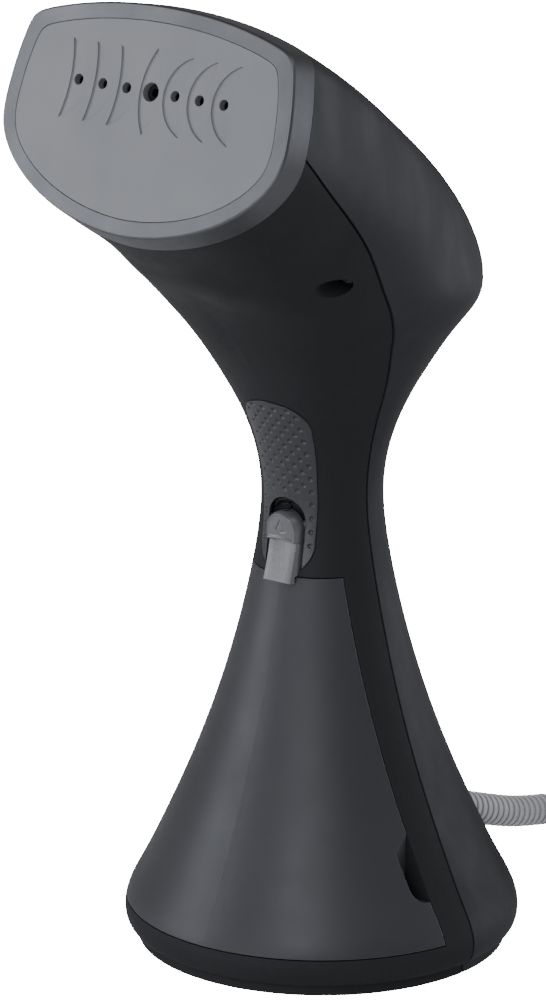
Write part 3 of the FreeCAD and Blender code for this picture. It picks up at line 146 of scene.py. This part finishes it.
def soft_edge(tree, radius):
    """A normal that rounds every sharp edge by a small radius, and a mask that is 1 along those edges."""
    bevel = tree.nodes.new("ShaderNodeBevel")
    bevel.samples = EDGE_SAMPLES
    bevel.inputs["Radius"].default_value = radius
    geometry = tree.nodes.new("ShaderNodeNewGeometry")
    dot = tree.nodes.new("ShaderNodeVectorMath")
    dot.operation = "DOT_PRODUCT"
    link(tree, bevel.outputs["Normal"], dot.inputs[0])
    link(tree, geometry.outputs["Normal"], dot.inputs[1])
    return bevel.outputs["Normal"], spread(tree, dot.outputs["Value"], 1.0, 0.0, EDGE_TURNED, EDGE_FLAT)


def shade(colour, factor):
    """A colour made darker or lighter."""
    return tuple(min(1.0, channel * factor) for channel in colour)


def moulded(name, colour, roughness, grain=0.00002, grain_scale=1800.0, edge=0.00025, edge_highlight=1.5, specular=0.5,
            coat=0.0, metallic=0.0):
    """Moulded plastic or rubber: fine grain, a painted highlight that lightens the colour along soft edges, and
    faint handling marks.
    """
    smudge = 0.07
    made, tree, shader = new_material(name)
    edge_normal, edge_mask = soft_edge(tree, edge)
    clouds = noise(tree, scale=28.0, detail=3.0)
    fine = noise(tree, scale=grain_scale, detail=2.0, roughness=0.6)
    toned = blend_colour(tree, spread(tree, clouds, 0.0, 1.0), shade(colour, 0.93), shade(colour, 1.07))
    # Painted highlight: the colour is blended towards a lighter copy along every sharp edge.
    edge_highlight_share = spread(tree, edge_mask, 0.0, 0.55, at_low=0.0, at_high=1.0)
    link(tree, blend_colour(tree, edge_highlight_share, toned, shade(colour, edge_highlight)), shader.inputs["Base Color"])
    marks = noise(tree, scale=60.0, detail=6.0, roughness=0.65, stretch=(1.0, 1.0, 0.35))
    link(tree, spread(tree, marks, roughness - smudge, roughness + smudge), shader.inputs["Roughness"])
    link(tree, bump(tree, fine, grain, normal=edge_normal), shader.inputs["Normal"])
    shader.inputs["Specular IOR Level"].default_value = specular
    shader.inputs["Coat Weight"].default_value = coat
    shader.inputs["Metallic"].default_value = metallic
    return made


def paint_groove_shade(look, reach, deepest):
    """Paint shade into a look between ribs; the deepest places keep only that share of the colour."""
    tree = look.node_tree
    shader = tree.nodes["Principled BSDF"]
    colour = shader.inputs["Base Color"].links[0].from_socket
    # Painted shade: ambient occlusion darkens the colour in the grooves.
    hollow = tree.nodes.new("ShaderNodeAmbientOcclusion")
    hollow.samples = HOLLOW_SAMPLES
    hollow.only_local = True
    hollow.inputs["Distance"].default_value = reach
    groove_shade = tree.nodes.new("ShaderNodeMix")
    groove_shade.data_type = "RGBA"
    groove_shade.blend_type = "MULTIPLY"
    groove_shade.inputs["Factor"].default_value = 1.0
    link(tree, colour, groove_shade.inputs["A"])
    link(tree, spread(tree, hollow.outputs["AO"], deepest, 1.0, at_low=0.35, at_high=0.95), groove_shade.inputs["B"])
    link(tree, groove_shade.outputs["Result"], shader.inputs["Base Color"])


def metal(name, colour, roughness, brushed=(1.0, 1.0, 1.0)):
    """Bare metal with fine lines, drawn out by the brushing along each axis."""
    made, tree, shader = new_material(name)
    lines = noise(tree, scale=900.0, detail=3.0, roughness=0.6, stretch=brushed)
    toned = blend_colour(tree, lines, shade(colour, 0.85), shade(colour, 1.1))
    link(tree, toned, shader.inputs["Base Color"])
    link(tree, spread(tree, lines, roughness - 0.08, roughness + 0.1), shader.inputs["Roughness"])
    link(tree, bump(tree, lines, 0.00001), shader.inputs["Normal"])
    shader.inputs["Metallic"].default_value = 1.0
    return made


# ---------------------------------------------------------------- materials

def tank_material():
    """Smoky polycarbonate: light comes a little way in, and the edges get a painted highlight."""
    made, tree, shader = new_material("smoky_polycarbonate")
    edge_normal, edge_mask = soft_edge(tree, 0.0003)
    smoke = (0.077, 0.079, 0.092)
    clouds = noise(tree, scale=22.0)
    toned = blend_colour(tree, spread(tree, clouds, 0.0, 1.0), shade(smoke, 0.95), shade(smoke, 1.06))
    # Painted highlight: the smoke colour is lightened about threefold along sharp edges.
    edge_highlight_share = spread(tree, edge_mask, 0.0, 0.8, at_low=0.0, at_high=1.0)
    link(tree, blend_colour(tree, edge_highlight_share, toned, shade(smoke, 3.2)), shader.inputs["Base Color"])
    marks = noise(tree, scale=70.0, detail=5.0, roughness=0.6)
    link(tree, spread(tree, marks, 0.42, 0.5), shader.inputs["Roughness"])
    grain = noise(tree, scale=2400.0)
    link(tree, bump(tree, grain, 0.000006, normal=edge_normal), shader.inputs["Normal"])
    shader.inputs["Transmission Weight"].default_value = 0.5
    shader.inputs["IOR"].default_value = 1.5
    return made


# The edge lightening factor given to each look below is a painted highlight on its sharp edges.
FRONT_PLASTIC = moulded("front_plastic", (0.0245, 0.0248, 0.0268), 0.55, specular=0.15)
REAR_PLASTIC = moulded("rear_plastic", (0.024, 0.0248, 0.0293), 0.55, specular=0.35)
BEZEL_PLASTIC = moulded("bezel_plastic", (0.150, 0.153, 0.160), 0.42, edge_highlight=1.05, specular=0.35, metallic=0.95)
PLATE_COATING = moulded("plate_coating", (0.235, 0.239, 0.250), 0.42, grain=0.00001, grain_scale=2600.0,
                        edge_highlight=1.3)
GRIP_RUBBER = moulded("grip_rubber", (0.036, 0.0365, 0.040), 0.30, grain=0.00006, grain_scale=1500.0,
                      edge_highlight=2.2, edge=0.00035, specular=0.6)
LATCH_PLASTIC = moulded("latch_plastic", (0.125, 0.127, 0.133), 0.30, grain=0.00003, edge_highlight=2.0, specular=0.9)
BUTTON_PLASTIC = moulded("button_plastic", (0.135, 0.138, 0.145), 0.38, edge_highlight=1.5)
INNER_PLASTIC = moulded("inner_plastic", (0.02, 0.02, 0.021), 0.5)
COVER_PLASTIC = moulded("cover_plastic", (0.024, 0.0245, 0.027), 0.55, grain=0.00005, grain_scale=900.0)
FOOT_RUBBER = moulded("foot_rubber", (0.014, 0.014, 0.014), 0.72, grain=0.00004)
SEAL_RUBBER = moulded("seal_rubber", (0.42, 0.07, 0.035), 0.5)
PUMP_PLASTIC = moulded("pump_plastic", (0.60, 0.57, 0.48), 0.42)
COIL_TAPE = moulded("coil_tape", (0.55, 0.36, 0.05), 0.3)
BOARD = moulded("board", (0.012, 0.11, 0.035), 0.3, coat=0.4)
COMPONENTS = moulded("components", (0.02, 0.02, 0.023), 0.45)
HOSE_SILICONE = moulded("hose_silicone", (0.66, 0.66, 0.63), 0.34)
WIRE_JACKET = moulded("wire_jacket", (0.16, 0.16, 0.17), 0.5)
CORD_RUBBER = moulded("cord_rubber", (0.055, 0.056, 0.06), 0.5, grain=0.00003, grain_scale=1200.0)
SLEEVE_RUBBER = moulded("sleeve_rubber", (0.90, 0.90, 0.92), 0.5, edge_highlight=1.15)
# Painted shade in the sleeve's grooves between ribs.
paint_groove_shade(SLEEVE_RUBBER, reach=0.0018, deepest=0.06)
TIE_FABRIC = moulded("tie_fabric", (0.018, 0.018, 0.02), 0.9, grain=0.0003, grain_scale=1400.0)
PLUG_PLASTIC = moulded("plug_plastic", (0.045, 0.046, 0.05), 0.42)
LENS = moulded("lens", (0.55, 0.60, 0.62), 0.2, coat=0.5)
DIE_CAST = metal("die_cast", (0.05, 0.05, 0.052), 0.55)
STEEL = metal("steel", (0.56, 0.56, 0.57), 0.3)
# Painted shade: spring steel is coloured near black so the latch spring in its recess reads as the recess's
# shade.
SPRING_STEEL = metal("spring_steel", (0.045, 0.045, 0.048), 0.4, (1.0, 1.0, 6.0))
ELEMENT_STEEL = metal("element_steel", (0.36, 0.32, 0.27), 0.4)
PLUG_METAL = metal("plug_metal", (0.66, 0.62, 0.53), 0.25, (1.0, 8.0, 8.0))
TANK = tank_material()

LOOK_OF_SLOT = {
    "front_plastic": FRONT_PLASTIC, "rear_plastic": REAR_PLASTIC, "bezel_plastic": BEZEL_PLASTIC,
    "plate_coating": PLATE_COATING, "grip_rubber": GRIP_RUBBER, "latch_plastic": LATCH_PLASTIC,
    "tank_plastic": TANK, "button_plastic": BUTTON_PLASTIC, "inner_plastic": INNER_PLASTIC,
    "cover_plastic": COVER_PLASTIC, "foot_rubber": FOOT_RUBBER, "seal_rubber": SEAL_RUBBER, "die_cast": DIE_CAST,
    "steel": STEEL, "spring_steel": SPRING_STEEL, "element_steel": ELEMENT_STEEL, "pump_plastic": PUMP_PLASTIC,
    "coil_tape": COIL_TAPE, "board": BOARD, "components": COMPONENTS, "hose_silicone": HOSE_SILICONE,
    "wire_jacket": WIRE_JACKET, "cord_rubber": CORD_RUBBER, "sleeve_rubber": SLEEVE_RUBBER,
    "tie_fabric": TIE_FABRIC, "plug_plastic": PLUG_PLASTIC, "plug_metal": PLUG_METAL, "lens": LENS,
}
for entry in frame["record"]["subparts"]:
    mesh = nodes[entry["node"]].data
    mesh.materials.clear()
    mesh.materials.append(LOOK_OF_SLOT[entry["material_slot"]])


# ---------------------------------------------------------------- mesh helpers

def add_piece(data, name, look, body="root"):
    """Put a mesh or curve into the scene with its look, material slot and body."""
    piece = bpy.data.objects.new(name, data)
    scene.collection.objects.link(piece)
    data.materials.append(look)
    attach(piece, body)
    return piece


def quads_between(rows, count):
    """The faces of a closed tube of rows, each with this many points, and a cap at each end."""
    faces = []
    for row in range(rows - 1):
        for place in range(count):
            beside = (place + 1) % count
            faces.append((row * count + place, row * count + beside, (row + 1) * count + beside,
                          (row + 1) * count + place))
    faces.append(tuple(reversed(range(count))))
    faces.append(tuple((rows - 1) * count + place for place in range(count)))
    return faces


def smooth_mesh(name, points, faces):
    """A smoothly shaded mesh."""
    mesh = bpy.data.meshes.new(name)
    mesh.from_pydata(points, [], faces)
    mesh.polygons.foreach_set("use_smooth", [True] * len(mesh.polygons))
    mesh.update()
    return mesh


def skin_of_rings(name, rings):
    """A closed smooth mesh through rings of equally many points, with a flat cap at each end."""
    points = [point for ring in rings for point in ring]
    return smooth_mesh(name, points, quads_between(len(rings), len(rings[0])))


def nurbs(name, points):
    """A NURBS curve with these control points, ends included."""
    curve = bpy.data.curves.new(name, "CURVE")
    curve.dimensions = "3D"
    spline = curve.splines.new("NURBS")
    spline.points.add(len(points) - 1)
    for control, point in zip(spline.points, points):
        control.co = (*point, 1.0)
    spline.order_u = 3
    spline.use_endpoint_u = True
    return curve


def points_along(curve, step):
    """Evenly spaced (distance, point, heading) rows along a curve's own line, and the line's length."""
    curve.resolution_u = 24
    holder = bpy.data.objects.new("line", curve)
    line = bpy.data.meshes.new_from_object(holder)
    bpy.data.objects.remove(holder)
    corners = [vertex.co.copy() for vertex in line.vertices]
    bpy.data.meshes.remove(line)
    lengths = [0.0]
    for here, there in zip(corners, corners[1:]):
        lengths.append(lengths[-1] + (there - here).length)
    count = max(2, round(lengths[-1] / step))
    spots = []
    segment = 0
    for number in range(count + 1):
        distance = lengths[-1] * number / count
        while segment < len(corners) - 2 and lengths[segment + 1] < distance:
            segment += 1
        share = (distance - lengths[segment]) / max(1e-9, lengths[segment + 1] - lengths[segment])
        spots.append((distance, corners[segment].lerp(corners[segment + 1], share),
                      (corners[segment + 1] - corners[segment]).normalized()))
    return spots, lengths[-1]


def ring_round(centre, heading, radius, count):
    """A ring of points square to a heading, started from the same side each time."""
    side = heading.cross(Vector((0, 0, 1)))
    side = side.normalized() if side.length > 1e-6 else Vector((1, 0, 0))
    upward = side.cross(heading)
    return [centre + (side * math.cos(angle) + upward * math.sin(angle)) * radius
            for angle in (2 * math.pi * place / count for place in range(count))]


# ---------------------------------------------------------------- mains cord

CORD_RADIUS = 3.5 * MM
SLEEVE_ROUTE = [Vector(point) * MM for point in (
    (0, 43.2, 24), (0, 57, 23.7), (0, 72, 18.8), (0, 88, 12.9), (0, 103, 8), (0, 117, 5))]
CORD_ROUTE = [Vector(point) * MM for point in (
    (0, 117, 5), (0, 123.5, 3.6), (-0.6, 130, 3.6), (-2.8, 141, 3.6))]
PLUG_ROUTE = [Vector(point) * MM for point in ((14.5, 187.5, 26.4), (23, 194.5, 28.8), (34, 194.5, 28.8))]
coil_low, coil_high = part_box("cord_coil")
coil_middle = (coil_low + coil_high) / 2
COIL_START, TURN_POINTS = 184.0, 16
COLUMN_TURNS, CROSSING_TURNS, LAST_TURNS = 2, 0.25, 2.4375
PITCH = 7.2 * MM
FLOOR_GAP = 0.1 * MM
MIDDLE_TURN = 38.5 * MM


def coil_spot(degrees, radius, height):
    """A point round the coil's upright axis."""
    angle = math.radians(degrees)
    across, along = radius * math.cos(angle), radius * math.sin(angle)
    return Vector((coil_middle.x + across, coil_middle.y + along, height))


def coil_points():
    """Turns in three columns: up the outer one, down the middle one and up the inner one."""
    outer, middle, inner = MIDDLE_TURN + PITCH, MIDDLE_TURN, MIDDLE_TURN - PITCH
    low = CORD_RADIUS + FLOOR_GAP
    high = low + COLUMN_TURNS * PITCH
    stages = ((COLUMN_TURNS, outer, outer, low, high), (CROSSING_TURNS, outer, middle, high, high),
              (COLUMN_TURNS, middle, middle, high, low), (CROSSING_TURNS, middle, inner, low, low),
              (LAST_TURNS, inner, inner, low, low + LAST_TURNS * PITCH))
    widen = 1 / math.cos(math.pi / TURN_POINTS)
    points, angle = [], COIL_START
    for turns, first_radius, last_radius, first_height, last_height in stages:
        count = round(turns * TURN_POINTS)
        for number in range(count):
            share = number / count
            radius = first_radius + (last_radius - first_radius) * share
            height = first_height + (last_height - first_height) * share
            points.append(coil_spot(angle, radius * widen, height))
            angle -= 360.0 / TURN_POINTS
    return points, angle


turns, coil_end = coil_points()
rising = [coil_spot(coil_end, 31.6 * MM, 21.3 * MM), coil_spot(coil_end - 22.5, 33.6 * MM, 22.5 * MM),
          coil_spot(coil_end - 46.0, 37.4 * MM, 24.3 * MM)]
cord_curve = nurbs("mains_cord_line", CORD_ROUTE + turns + rising + PLUG_ROUTE)
_, cord_length = points_along(cord_curve, 0.05)
cord_curve.resolution_u = 8
cord_curve.bevel_depth = CORD_RADIUS
cord_curve.bevel_resolution = 6
cord_curve.use_fill_caps = True
cord = add_piece(cord_curve, "supply_cord", CORD_RUBBER)
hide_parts("mains_cord", "cord_coil", "cord_tail")


# ---------------------------------------------------------------- strain relief sleeve

SLEEVE_CORE, SLEEVE_FLANGE, SLEEVE_FLANGE_DEPTH = 4.3 * MM, 7.0 * MM, 1.9 * MM
SLEEVE_EDGE, SLEEVE_STEP = 0.3 * MM, 0.1 * MM
RIB_START, RIB_PITCH, HALF_RIB = 14.4 * MM, 3.0 * MM, 1.05 * MM
FIRST_RIB, LAST_RIB = 5.1 * MM, 4.85 * MM
RIB_STATIONS = (-1.0, -0.97, -0.85, -0.6, -0.25, 0.25, 0.6, 0.85, 0.97, 1.0)
RIB_FLATNESS, RIB_ROUNDNESS = 3.2, 2.6


def sleeve_profile():
    """(distance, radius) pairs along the sleeve: a flange inside the wall, a plain neck, then round ribs."""
    length = points_along(nurbs("sleeve_measure", SLEEVE_ROUTE), 0.01)[1]
    count = int((length - RIB_START + HALF_RIB) / RIB_PITCH)
    pairs = [(0.0, SLEEVE_FLANGE), (SLEEVE_FLANGE_DEPTH - SLEEVE_EDGE, SLEEVE_FLANGE),
             (SLEEVE_FLANGE_DEPTH, SLEEVE_FLANGE - SLEEVE_EDGE),
             (SLEEVE_FLANGE_DEPTH + SLEEVE_STEP, SLEEVE_CORE)]
    for number in range(count):
        centre = RIB_START + number * RIB_PITCH
        top = FIRST_RIB + (LAST_RIB - FIRST_RIB) * number / count
        for across in RIB_STATIONS:
            bulge = (1 - abs(across) ** RIB_FLATNESS) ** (1 / RIB_ROUNDNESS)
            pairs.append((centre + across * HALF_RIB, SLEEVE_CORE + (top - SLEEVE_CORE) * bulge))
    end = pairs[-1][0]
    return pairs + [(end + (length - end) / 2, SLEEVE_CORE), (length - SLEEVE_EDGE, SLEEVE_CORE),
                    (length, SLEEVE_CORE - SLEEVE_EDGE)]


def swept(name, route, profile, count=40):
    """A round piece along a route whose radius follows (distance, radius) pairs."""
    spots, length = points_along(nurbs(name + "_line", route), 0.0002)
    rings = []
    for distance, radius in profile:
        place = min(len(spots) - 1, round(distance / length * (len(spots) - 1)))
        _, centre, heading = spots[place]
        rings.append(ring_round(centre, heading, radius, count))
    return skin_of_rings(name, rings)


sleeve_mesh = swept("ribbed_sleeve", SLEEVE_ROUTE, sleeve_profile())
sleeve = add_piece(sleeve_mesh, "ribbed_sleeve", SLEEVE_RUBBER)
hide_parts("strain_relief")


# ---------------------------------------------------------------- tank latch

# all in millimetres, heights from the floor and faces forwards from the origin
LATCH_HALF_WIDTH = 5.4
LATCH_TIP_GAP = 0.04
CREASE_HEIGHT, CREASE_RISE, CREASE_HALF = 126.6, 0.7, 0.35
PAD_FACE, PAD_CROWN, RIM_LIFT, RIM_WIDE, RIM_BLEND = 20.3, 0.35, 0.32, 0.55, 0.45
MARK_TOP, MARK_SIDE, MARK_BASE, MARK_TIP = 133.0, 1.6, 129.9, 129.5
MARK_DEPTH, MARK_FLAT, MARK_WIDE = 0.3, 0.12, 0.34
LOWER_FACE, LOWER_LENGTH, FLARE, FLARE_POWER, DISH = 19.15, 11.6, 3.1, 1.35, 0.25
EDGE_DROP, SIDE_DROP = 1.1, 0.12
HOOK_TOP, STEP_TOP = 116.9, 119.2
HOOK_BACK, STEP_BACK, PLATE_BACK = 20.7, 16.4, 15.7
FLANGE_LOW, FLANGE_HIGH = (-6.4, -15.7, 119.4), (6.4, -14.6, 132.4)


def smooth_step(value, start, end):
    """0 before the start, 1 after the end and an even S between them."""
    share = min(1.0, max(0.0, (value - start) / (end - start)))
    return share * share * (3 - 2 * share)


def distance_to_line(x, z, start, end):
    """Distance from a point to a straight stretch, all in the latch's own plane."""
    run_x, run_z = end[0] - start[0], end[1] - start[1]
    share = ((x - start[0]) * run_x + (z - start[1]) * run_z) / (run_x ** 2 + run_z ** 2)
    share = min(1.0, max(0.0, share))
    return math.hypot(x - start[0] - share * run_x, z - start[1] - share * run_z)


def latch_front(x, z, top):
    """How far forward the latch's face stands: a dished lower part under a rimmed thumb pad with a mark."""
    off_middle = (x / LATCH_HALF_WIDTH) ** 2
    crease = CREASE_HEIGHT + CREASE_RISE * (1 - off_middle)
    inset = LATCH_HALF_WIDTH - math.hypot(x, max(0.0, z - (top - LATCH_HALF_WIDTH)))
    side_rim = 1 - smooth_step(inset, RIM_WIDE, RIM_WIDE + RIM_BLEND)
    low_rim = 1 - smooth_step(z - crease, 0.5, 1.0)
    pad = PAD_FACE + RIM_LIFT * max(side_rim, low_rim) + PAD_CROWN * (1 - off_middle)
    apex, left, tip, right = (0.0, MARK_TOP), (-MARK_SIDE, MARK_BASE), (0.0, MARK_TIP), (MARK_SIDE, MARK_BASE)
    corners = (apex, left, tip, right, apex)
    mark = min(distance_to_line(x, z, start, end) for start, end in zip(corners, corners[1:]))
    pad -= MARK_DEPTH * (1 - smooth_step(mark, MARK_FLAT, MARK_WIDE))
    drop = max(0.0, (crease - z) / LOWER_LENGTH)
    dished = LOWER_FACE + FLARE * drop ** FLARE_POWER + DISH * off_middle
    face = dished + (pad - dished) * smooth_step(z - crease, -CREASE_HALF, CREASE_HALF)
    face -= EDGE_DROP * (1 - smooth_step(inset, -0.2, 0.75))
    return face - SIDE_DROP * smooth_step(abs(x) / LATCH_HALF_WIDTH, 0.5, 1.2)


def latch_row(z, top, columns):
    """One level line round the latch: its back corners and the face between them."""
    over = max(0.0, z - (top - LATCH_HALF_WIDTH))
    reach = math.sqrt(max(0.0, LATCH_HALF_WIDTH ** 2 - over ** 2))
    if z < HOOK_TOP:
        back = HOOK_BACK
    elif z < STEP_TOP:
        back = STEP_BACK
    else:
        back = PLATE_BACK
    row = [(-reach, -back, z)]
    for column in range(columns + 1):
        x = reach * (2 * column / columns - 1)
        row.append((x, -latch_front(x, z, top), z))
    row.append((reach, -back, z))
    return [Vector(point) * MM for point in row]


def latch_mesh():
    """The latch's face and sides over its rows, and the flat flange that holds it in the housing."""
    low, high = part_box("tank_latch")
    top, bottom = high.z / MM, low.z / MM
    columns, rows = 72, 110
    points = []
    for row in range(rows + 1):
        z = bottom + (top - LATCH_TIP_GAP - bottom) * row / rows
        points += latch_row(z, top, columns)
    faces = quads_between(rows + 1, columns + 3)
    start = len(points)
    flange_low, flange_high = Vector(FLANGE_LOW) * MM, Vector(FLANGE_HIGH) * MM
    for x in (flange_low.x, flange_high.x):
        for y in (flange_low.y, flange_high.y):
            for z in (flange_low.z, flange_high.z):
                points.append(Vector((x, y, z)))
    for corners in ((0, 1, 3, 2), (4, 6, 7, 5), (0, 4, 5, 1), (2, 3, 7, 6), (0, 2, 6, 4), (1, 5, 7, 3)):
        faces.append(tuple(start + corner for corner in corners))
    mesh = smooth_mesh("thumb_latch", points, faces)
    mesh.set_sharp_from_angle(angle=math.radians(50))
    return mesh


latch = add_piece(latch_mesh(), "thumb_latch", LATCH_PLASTIC, body="tank_latch")
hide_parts("tank_latch")


# ---------------------------------------------------------------- plug and tie

def rounded_ring(x, centre, half_wide, half_thick, power, count=48):
    """A superellipse of points square to X; a power of 2 is an oval, and a higher one is squarer."""
    points = []
    for number in range(count):
        angle = 2 * math.pi * number / count
        across = math.copysign(abs(math.cos(angle)) ** (2 / power), math.cos(angle)) * half_wide
        up = math.copysign(abs(math.sin(angle)) ** (2 / power), math.sin(angle)) * half_thick
        points.append(Vector((x, centre.y + across, centre.z + up)))
    return points


RELIEF_LENGTH, RELIEF_STEPS = 15.0 * MM, 6
RELIEF_RADIUS, RELIEF_GROWTH, RELIEF_TIP = 4.1, 1.6, 3.9    # in millimetres
# (share of a step, swell in millimetres) over one rib of the relief and the slot after it
RELIEF_RIB = ((0.02, -0.1), (0.1, 0.35), (0.5, 0.45), (0.62, 0.35), (0.68, -0.3), (0.98, -0.25))
# (share of the case's length, share of its width, share of its thickness, squareness)
CASE_RINGS = ((0.02, 0.52, 0.84, 2.2), (0.06, 0.66, 0.90, 2.4), (0.13, 0.80, 0.95, 2.8),
              (0.22, 0.90, 0.98, 3.2), (0.34, 0.93, 0.98, 3.6), (0.46, 0.90, 0.90, 3.6),
              (0.58, 0.92, 0.90, 3.8), (0.70, 0.98, 0.98, 4.2), (0.80, 1.0, 1.0, 4.6),
              (0.97, 1.0, 1.0, 4.6), (0.99, 0.985, 0.975, 4.6), (1.0, 0.95, 0.92, 4.6))
ROUND = 2.0


def plug_mesh():
    """A moulded plug: slotted relief cone, round shoulders and a waist for the fingers."""
    low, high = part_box("plug_body")
    centre = (low + high) / 2
    half_wide, half_thick = (high.y - low.y) / 2, (high.z - low.z) / 2
    rings = [rounded_ring(low.x, centre, RELIEF_TIP * MM, RELIEF_TIP * MM, ROUND)]
    step = RELIEF_LENGTH / RELIEF_STEPS
    for number in range(RELIEF_STEPS):
        start = low.x + RELIEF_LENGTH * number / RELIEF_STEPS
        radius = (RELIEF_RADIUS + RELIEF_GROWTH * number / RELIEF_STEPS) * MM
        for along, swell in RELIEF_RIB:
            size = radius + swell * MM
            rings.append(rounded_ring(start + step * along, centre, size, size, ROUND))
    shoulder, case = low.x + RELIEF_LENGTH, high.x - low.x - RELIEF_LENGTH
    for along, wide, thick, power in CASE_RINGS:
        x = shoulder + case * along
        rings.append(rounded_ring(x, centre, half_wide * wide, half_thick * thick, power))
    return skin_of_rings("moulded_plug", rings)


plug = add_piece(plug_mesh(), "moulded_plug", PLUG_PLASTIC)
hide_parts("plug_body")


def strap_loop(half_across, half_up, corner, grow):
    """A rounded rectangle's points, grown by a distance."""
    points = []
    radius, steps = corner + grow, 8
    for quarter, (across, up) in enumerate(((1, 1), (-1, 1), (-1, -1), (1, -1))):
        for number in range(steps + 1):
            angle = math.pi / 2 * (quarter + number / steps)
            points.append((across * (half_across - corner) + radius * math.cos(angle),
                           up * (half_up - corner) + radius * math.sin(angle)))
    return points


TIE_BEARING = math.radians(-40.0)
TIE_HALF_ACROSS, TIE_HALF_UP, TIE_CORNER, TIE_HALF_WIDTH = 11.3 * MM, 11.2 * MM, 4.5 * MM, 5.0 * MM
TIE_THICKNESS, TIE_LIFT, TIE_LAP_GAP = 0.85 * MM, 0.95 * MM, 0.05 * MM
TAB_HALF, TAB_END, TAB_THICKNESS, TAB_STEPS, TAB_SQUARENESS = 6.5 * MM, 7.5 * MM, 0.6 * MM, 12, 8


def band_mesh(inner, outer, closed, place):
    """Points and faces of a flat band between two (across, up) lines; place puts a point into the scene."""
    points, faces = [], []
    count = len(inner)
    for across, up in inner + outer:
        for side in (-TIE_HALF_WIDTH, TIE_HALF_WIDTH):
            points.append(place(across, up, side))
    for number in range(count if closed else count - 1):
        here, there = number, (number + 1) % count
        a, b = 2 * here, 2 * there
        c, d = 2 * (count + here), 2 * (count + there)
        faces += [(a, b, b + 1, a + 1), (c + 1, d + 1, d, c), (a, c, d, b), (a + 1, b + 1, d + 1, c + 1)]
    if not closed:
        a, c = 0, 2 * count
        faces.append((a, a + 1, c + 1, c))
        a, c = 2 * (count - 1), 2 * (2 * count - 1)
        faces.append((c, c + 1, a + 1, a))
    return points, faces


def tie_mesh():
    """A woven strap round the coil's section, its free end lying on top."""
    outward = Vector((math.cos(TIE_BEARING), math.sin(TIE_BEARING), 0))
    along = Vector((-math.sin(TIE_BEARING), math.cos(TIE_BEARING), 0))
    lift = Vector((0, 0, 1))
    centre = Vector((coil_middle.x, coil_middle.y, TIE_HALF_UP + TIE_LIFT)) + outward * MIDDLE_TURN

    def place(across, up, side):
        return centre + outward * across + lift * up + along * side

    loops = [strap_loop(TIE_HALF_ACROSS, TIE_HALF_UP, TIE_CORNER, grow) for grow in (0.0, TIE_THICKNESS)]
    tab_low = [(-TAB_HALF + 2 * TAB_HALF * number / TAB_STEPS, TIE_HALF_UP + TIE_THICKNESS + TIE_LAP_GAP)
               for number in range(TAB_STEPS + 1)]
    tab_high = [(across, up + TAB_THICKNESS * (1 - (across / TAB_END) ** TAB_SQUARENESS))
                for across, up in tab_low]
    points, faces = band_mesh(*loops, True, place)
    tab_points, tab_faces = band_mesh(tab_low, tab_high, False, place)
    faces += [tuple(len(points) + corner for corner in face) for face in tab_faces]
    mesh = bpy.data.meshes.new("coil_tie")
    mesh.from_pydata(points + tab_points, [], faces)
    mesh.update()
    return mesh


tie = add_piece(tie_mesh(), "coil_tie", TIE_FABRIC)
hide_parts("cord_tie")
tuple(CORD_ROUTE[0])


# ---------------------------------------------------------------- floor and light

FLOOR_REACH = 6.0
FLOOR_GREY = (0.92, 0.92, 0.92, 1.0)
FLOOR_GLOW = 30.0
SKY_STRENGTH = 0.22
LAMP_TINT = (0.91, 0.935, 1.0)
LAMP_TARGET = Vector((0.0, 0.0, 0.14))
# name, bearing in degrees from the camera's, height, distance, width, how tall, power
LAMPS = (
    ("left_panel", -84.0, 0.36, 1.1, 0.5, 0.8, 5.2),
    ("right_panel", 108.0, 0.2, 1.3, 0.9, 0.36, 2.8),
    ("top_panel", 62.0, 1.2, 0.9, 0.8, 0.8, 2.2),
    ("low_panel", -32.0, 0.16, 1.5, 0.8, 0.28, 2.2),
    ("front_panel", -15.0, 1.1, 1.6, 0.8, 0.8, 10.0),
)


def add_lamp(name, around, height, distance, width, tall, power):
    """A soft rectangular lamp at a bearing round the object, turned to its middle."""
    lamp = bpy.data.lights.new(name, "AREA")
    lamp.shape = "RECTANGLE"
    lamp.size = width
    lamp.size_y = tall
    lamp.energy = power
    lamp.color = LAMP_TINT
    holder = bpy.data.objects.new(name, lamp)
    scene.collection.objects.link(holder)
    bearing = AZIMUTH + math.radians(around)
    spot = Vector((math.sin(bearing) * distance, -math.cos(bearing) * distance, height))
    holder.location = spot
    holder.rotation_euler = (LAMP_TARGET - spot).to_track_quat("-Z", "Y").to_euler()


floor_mesh = bpy.data.meshes.new("studio_floor")
floor_corners = [(x * FLOOR_REACH, y * FLOOR_REACH, 0) for x, y in ((-1, -1), (1, -1), (1, 1), (-1, 1))]
floor_mesh.from_pydata(floor_corners, [], [(0, 1, 2, 3)])
floor = bpy.data.objects.new("studio_floor", floor_mesh)
scene.collection.objects.link(floor)
floor_look, floor_tree, floor_shader = new_material("floor_paper")
floor_shader.inputs["Base Color"].default_value = FLOOR_GREY
floor_shader.inputs["Roughness"].default_value = 0.7
floor_shader.inputs["Emission Color"].default_value = (1.0, 1.0, 1.0, 1.0)
seen = floor_tree.nodes.new("ShaderNodeLightPath").outputs["Is Camera Ray"]
glow = spread(floor_tree, seen, 0.0, FLOOR_GLOW, at_low=0.0, at_high=1.0)
link(floor_tree, glow, floor_shader.inputs["Emission Strength"])
floor_mesh.materials.append(floor_look)

world = bpy.data.worlds.new("studio")
scene.world = world
world.use_nodes = True
world.node_tree.nodes["Background"].inputs["Color"].default_value = (1.0, 1.0, 1.0, 1.0)
world.node_tree.nodes["Background"].inputs["Strength"].default_value = SKY_STRENGTH

for lamp_row in LAMPS:
    add_lamp(*lamp_row)
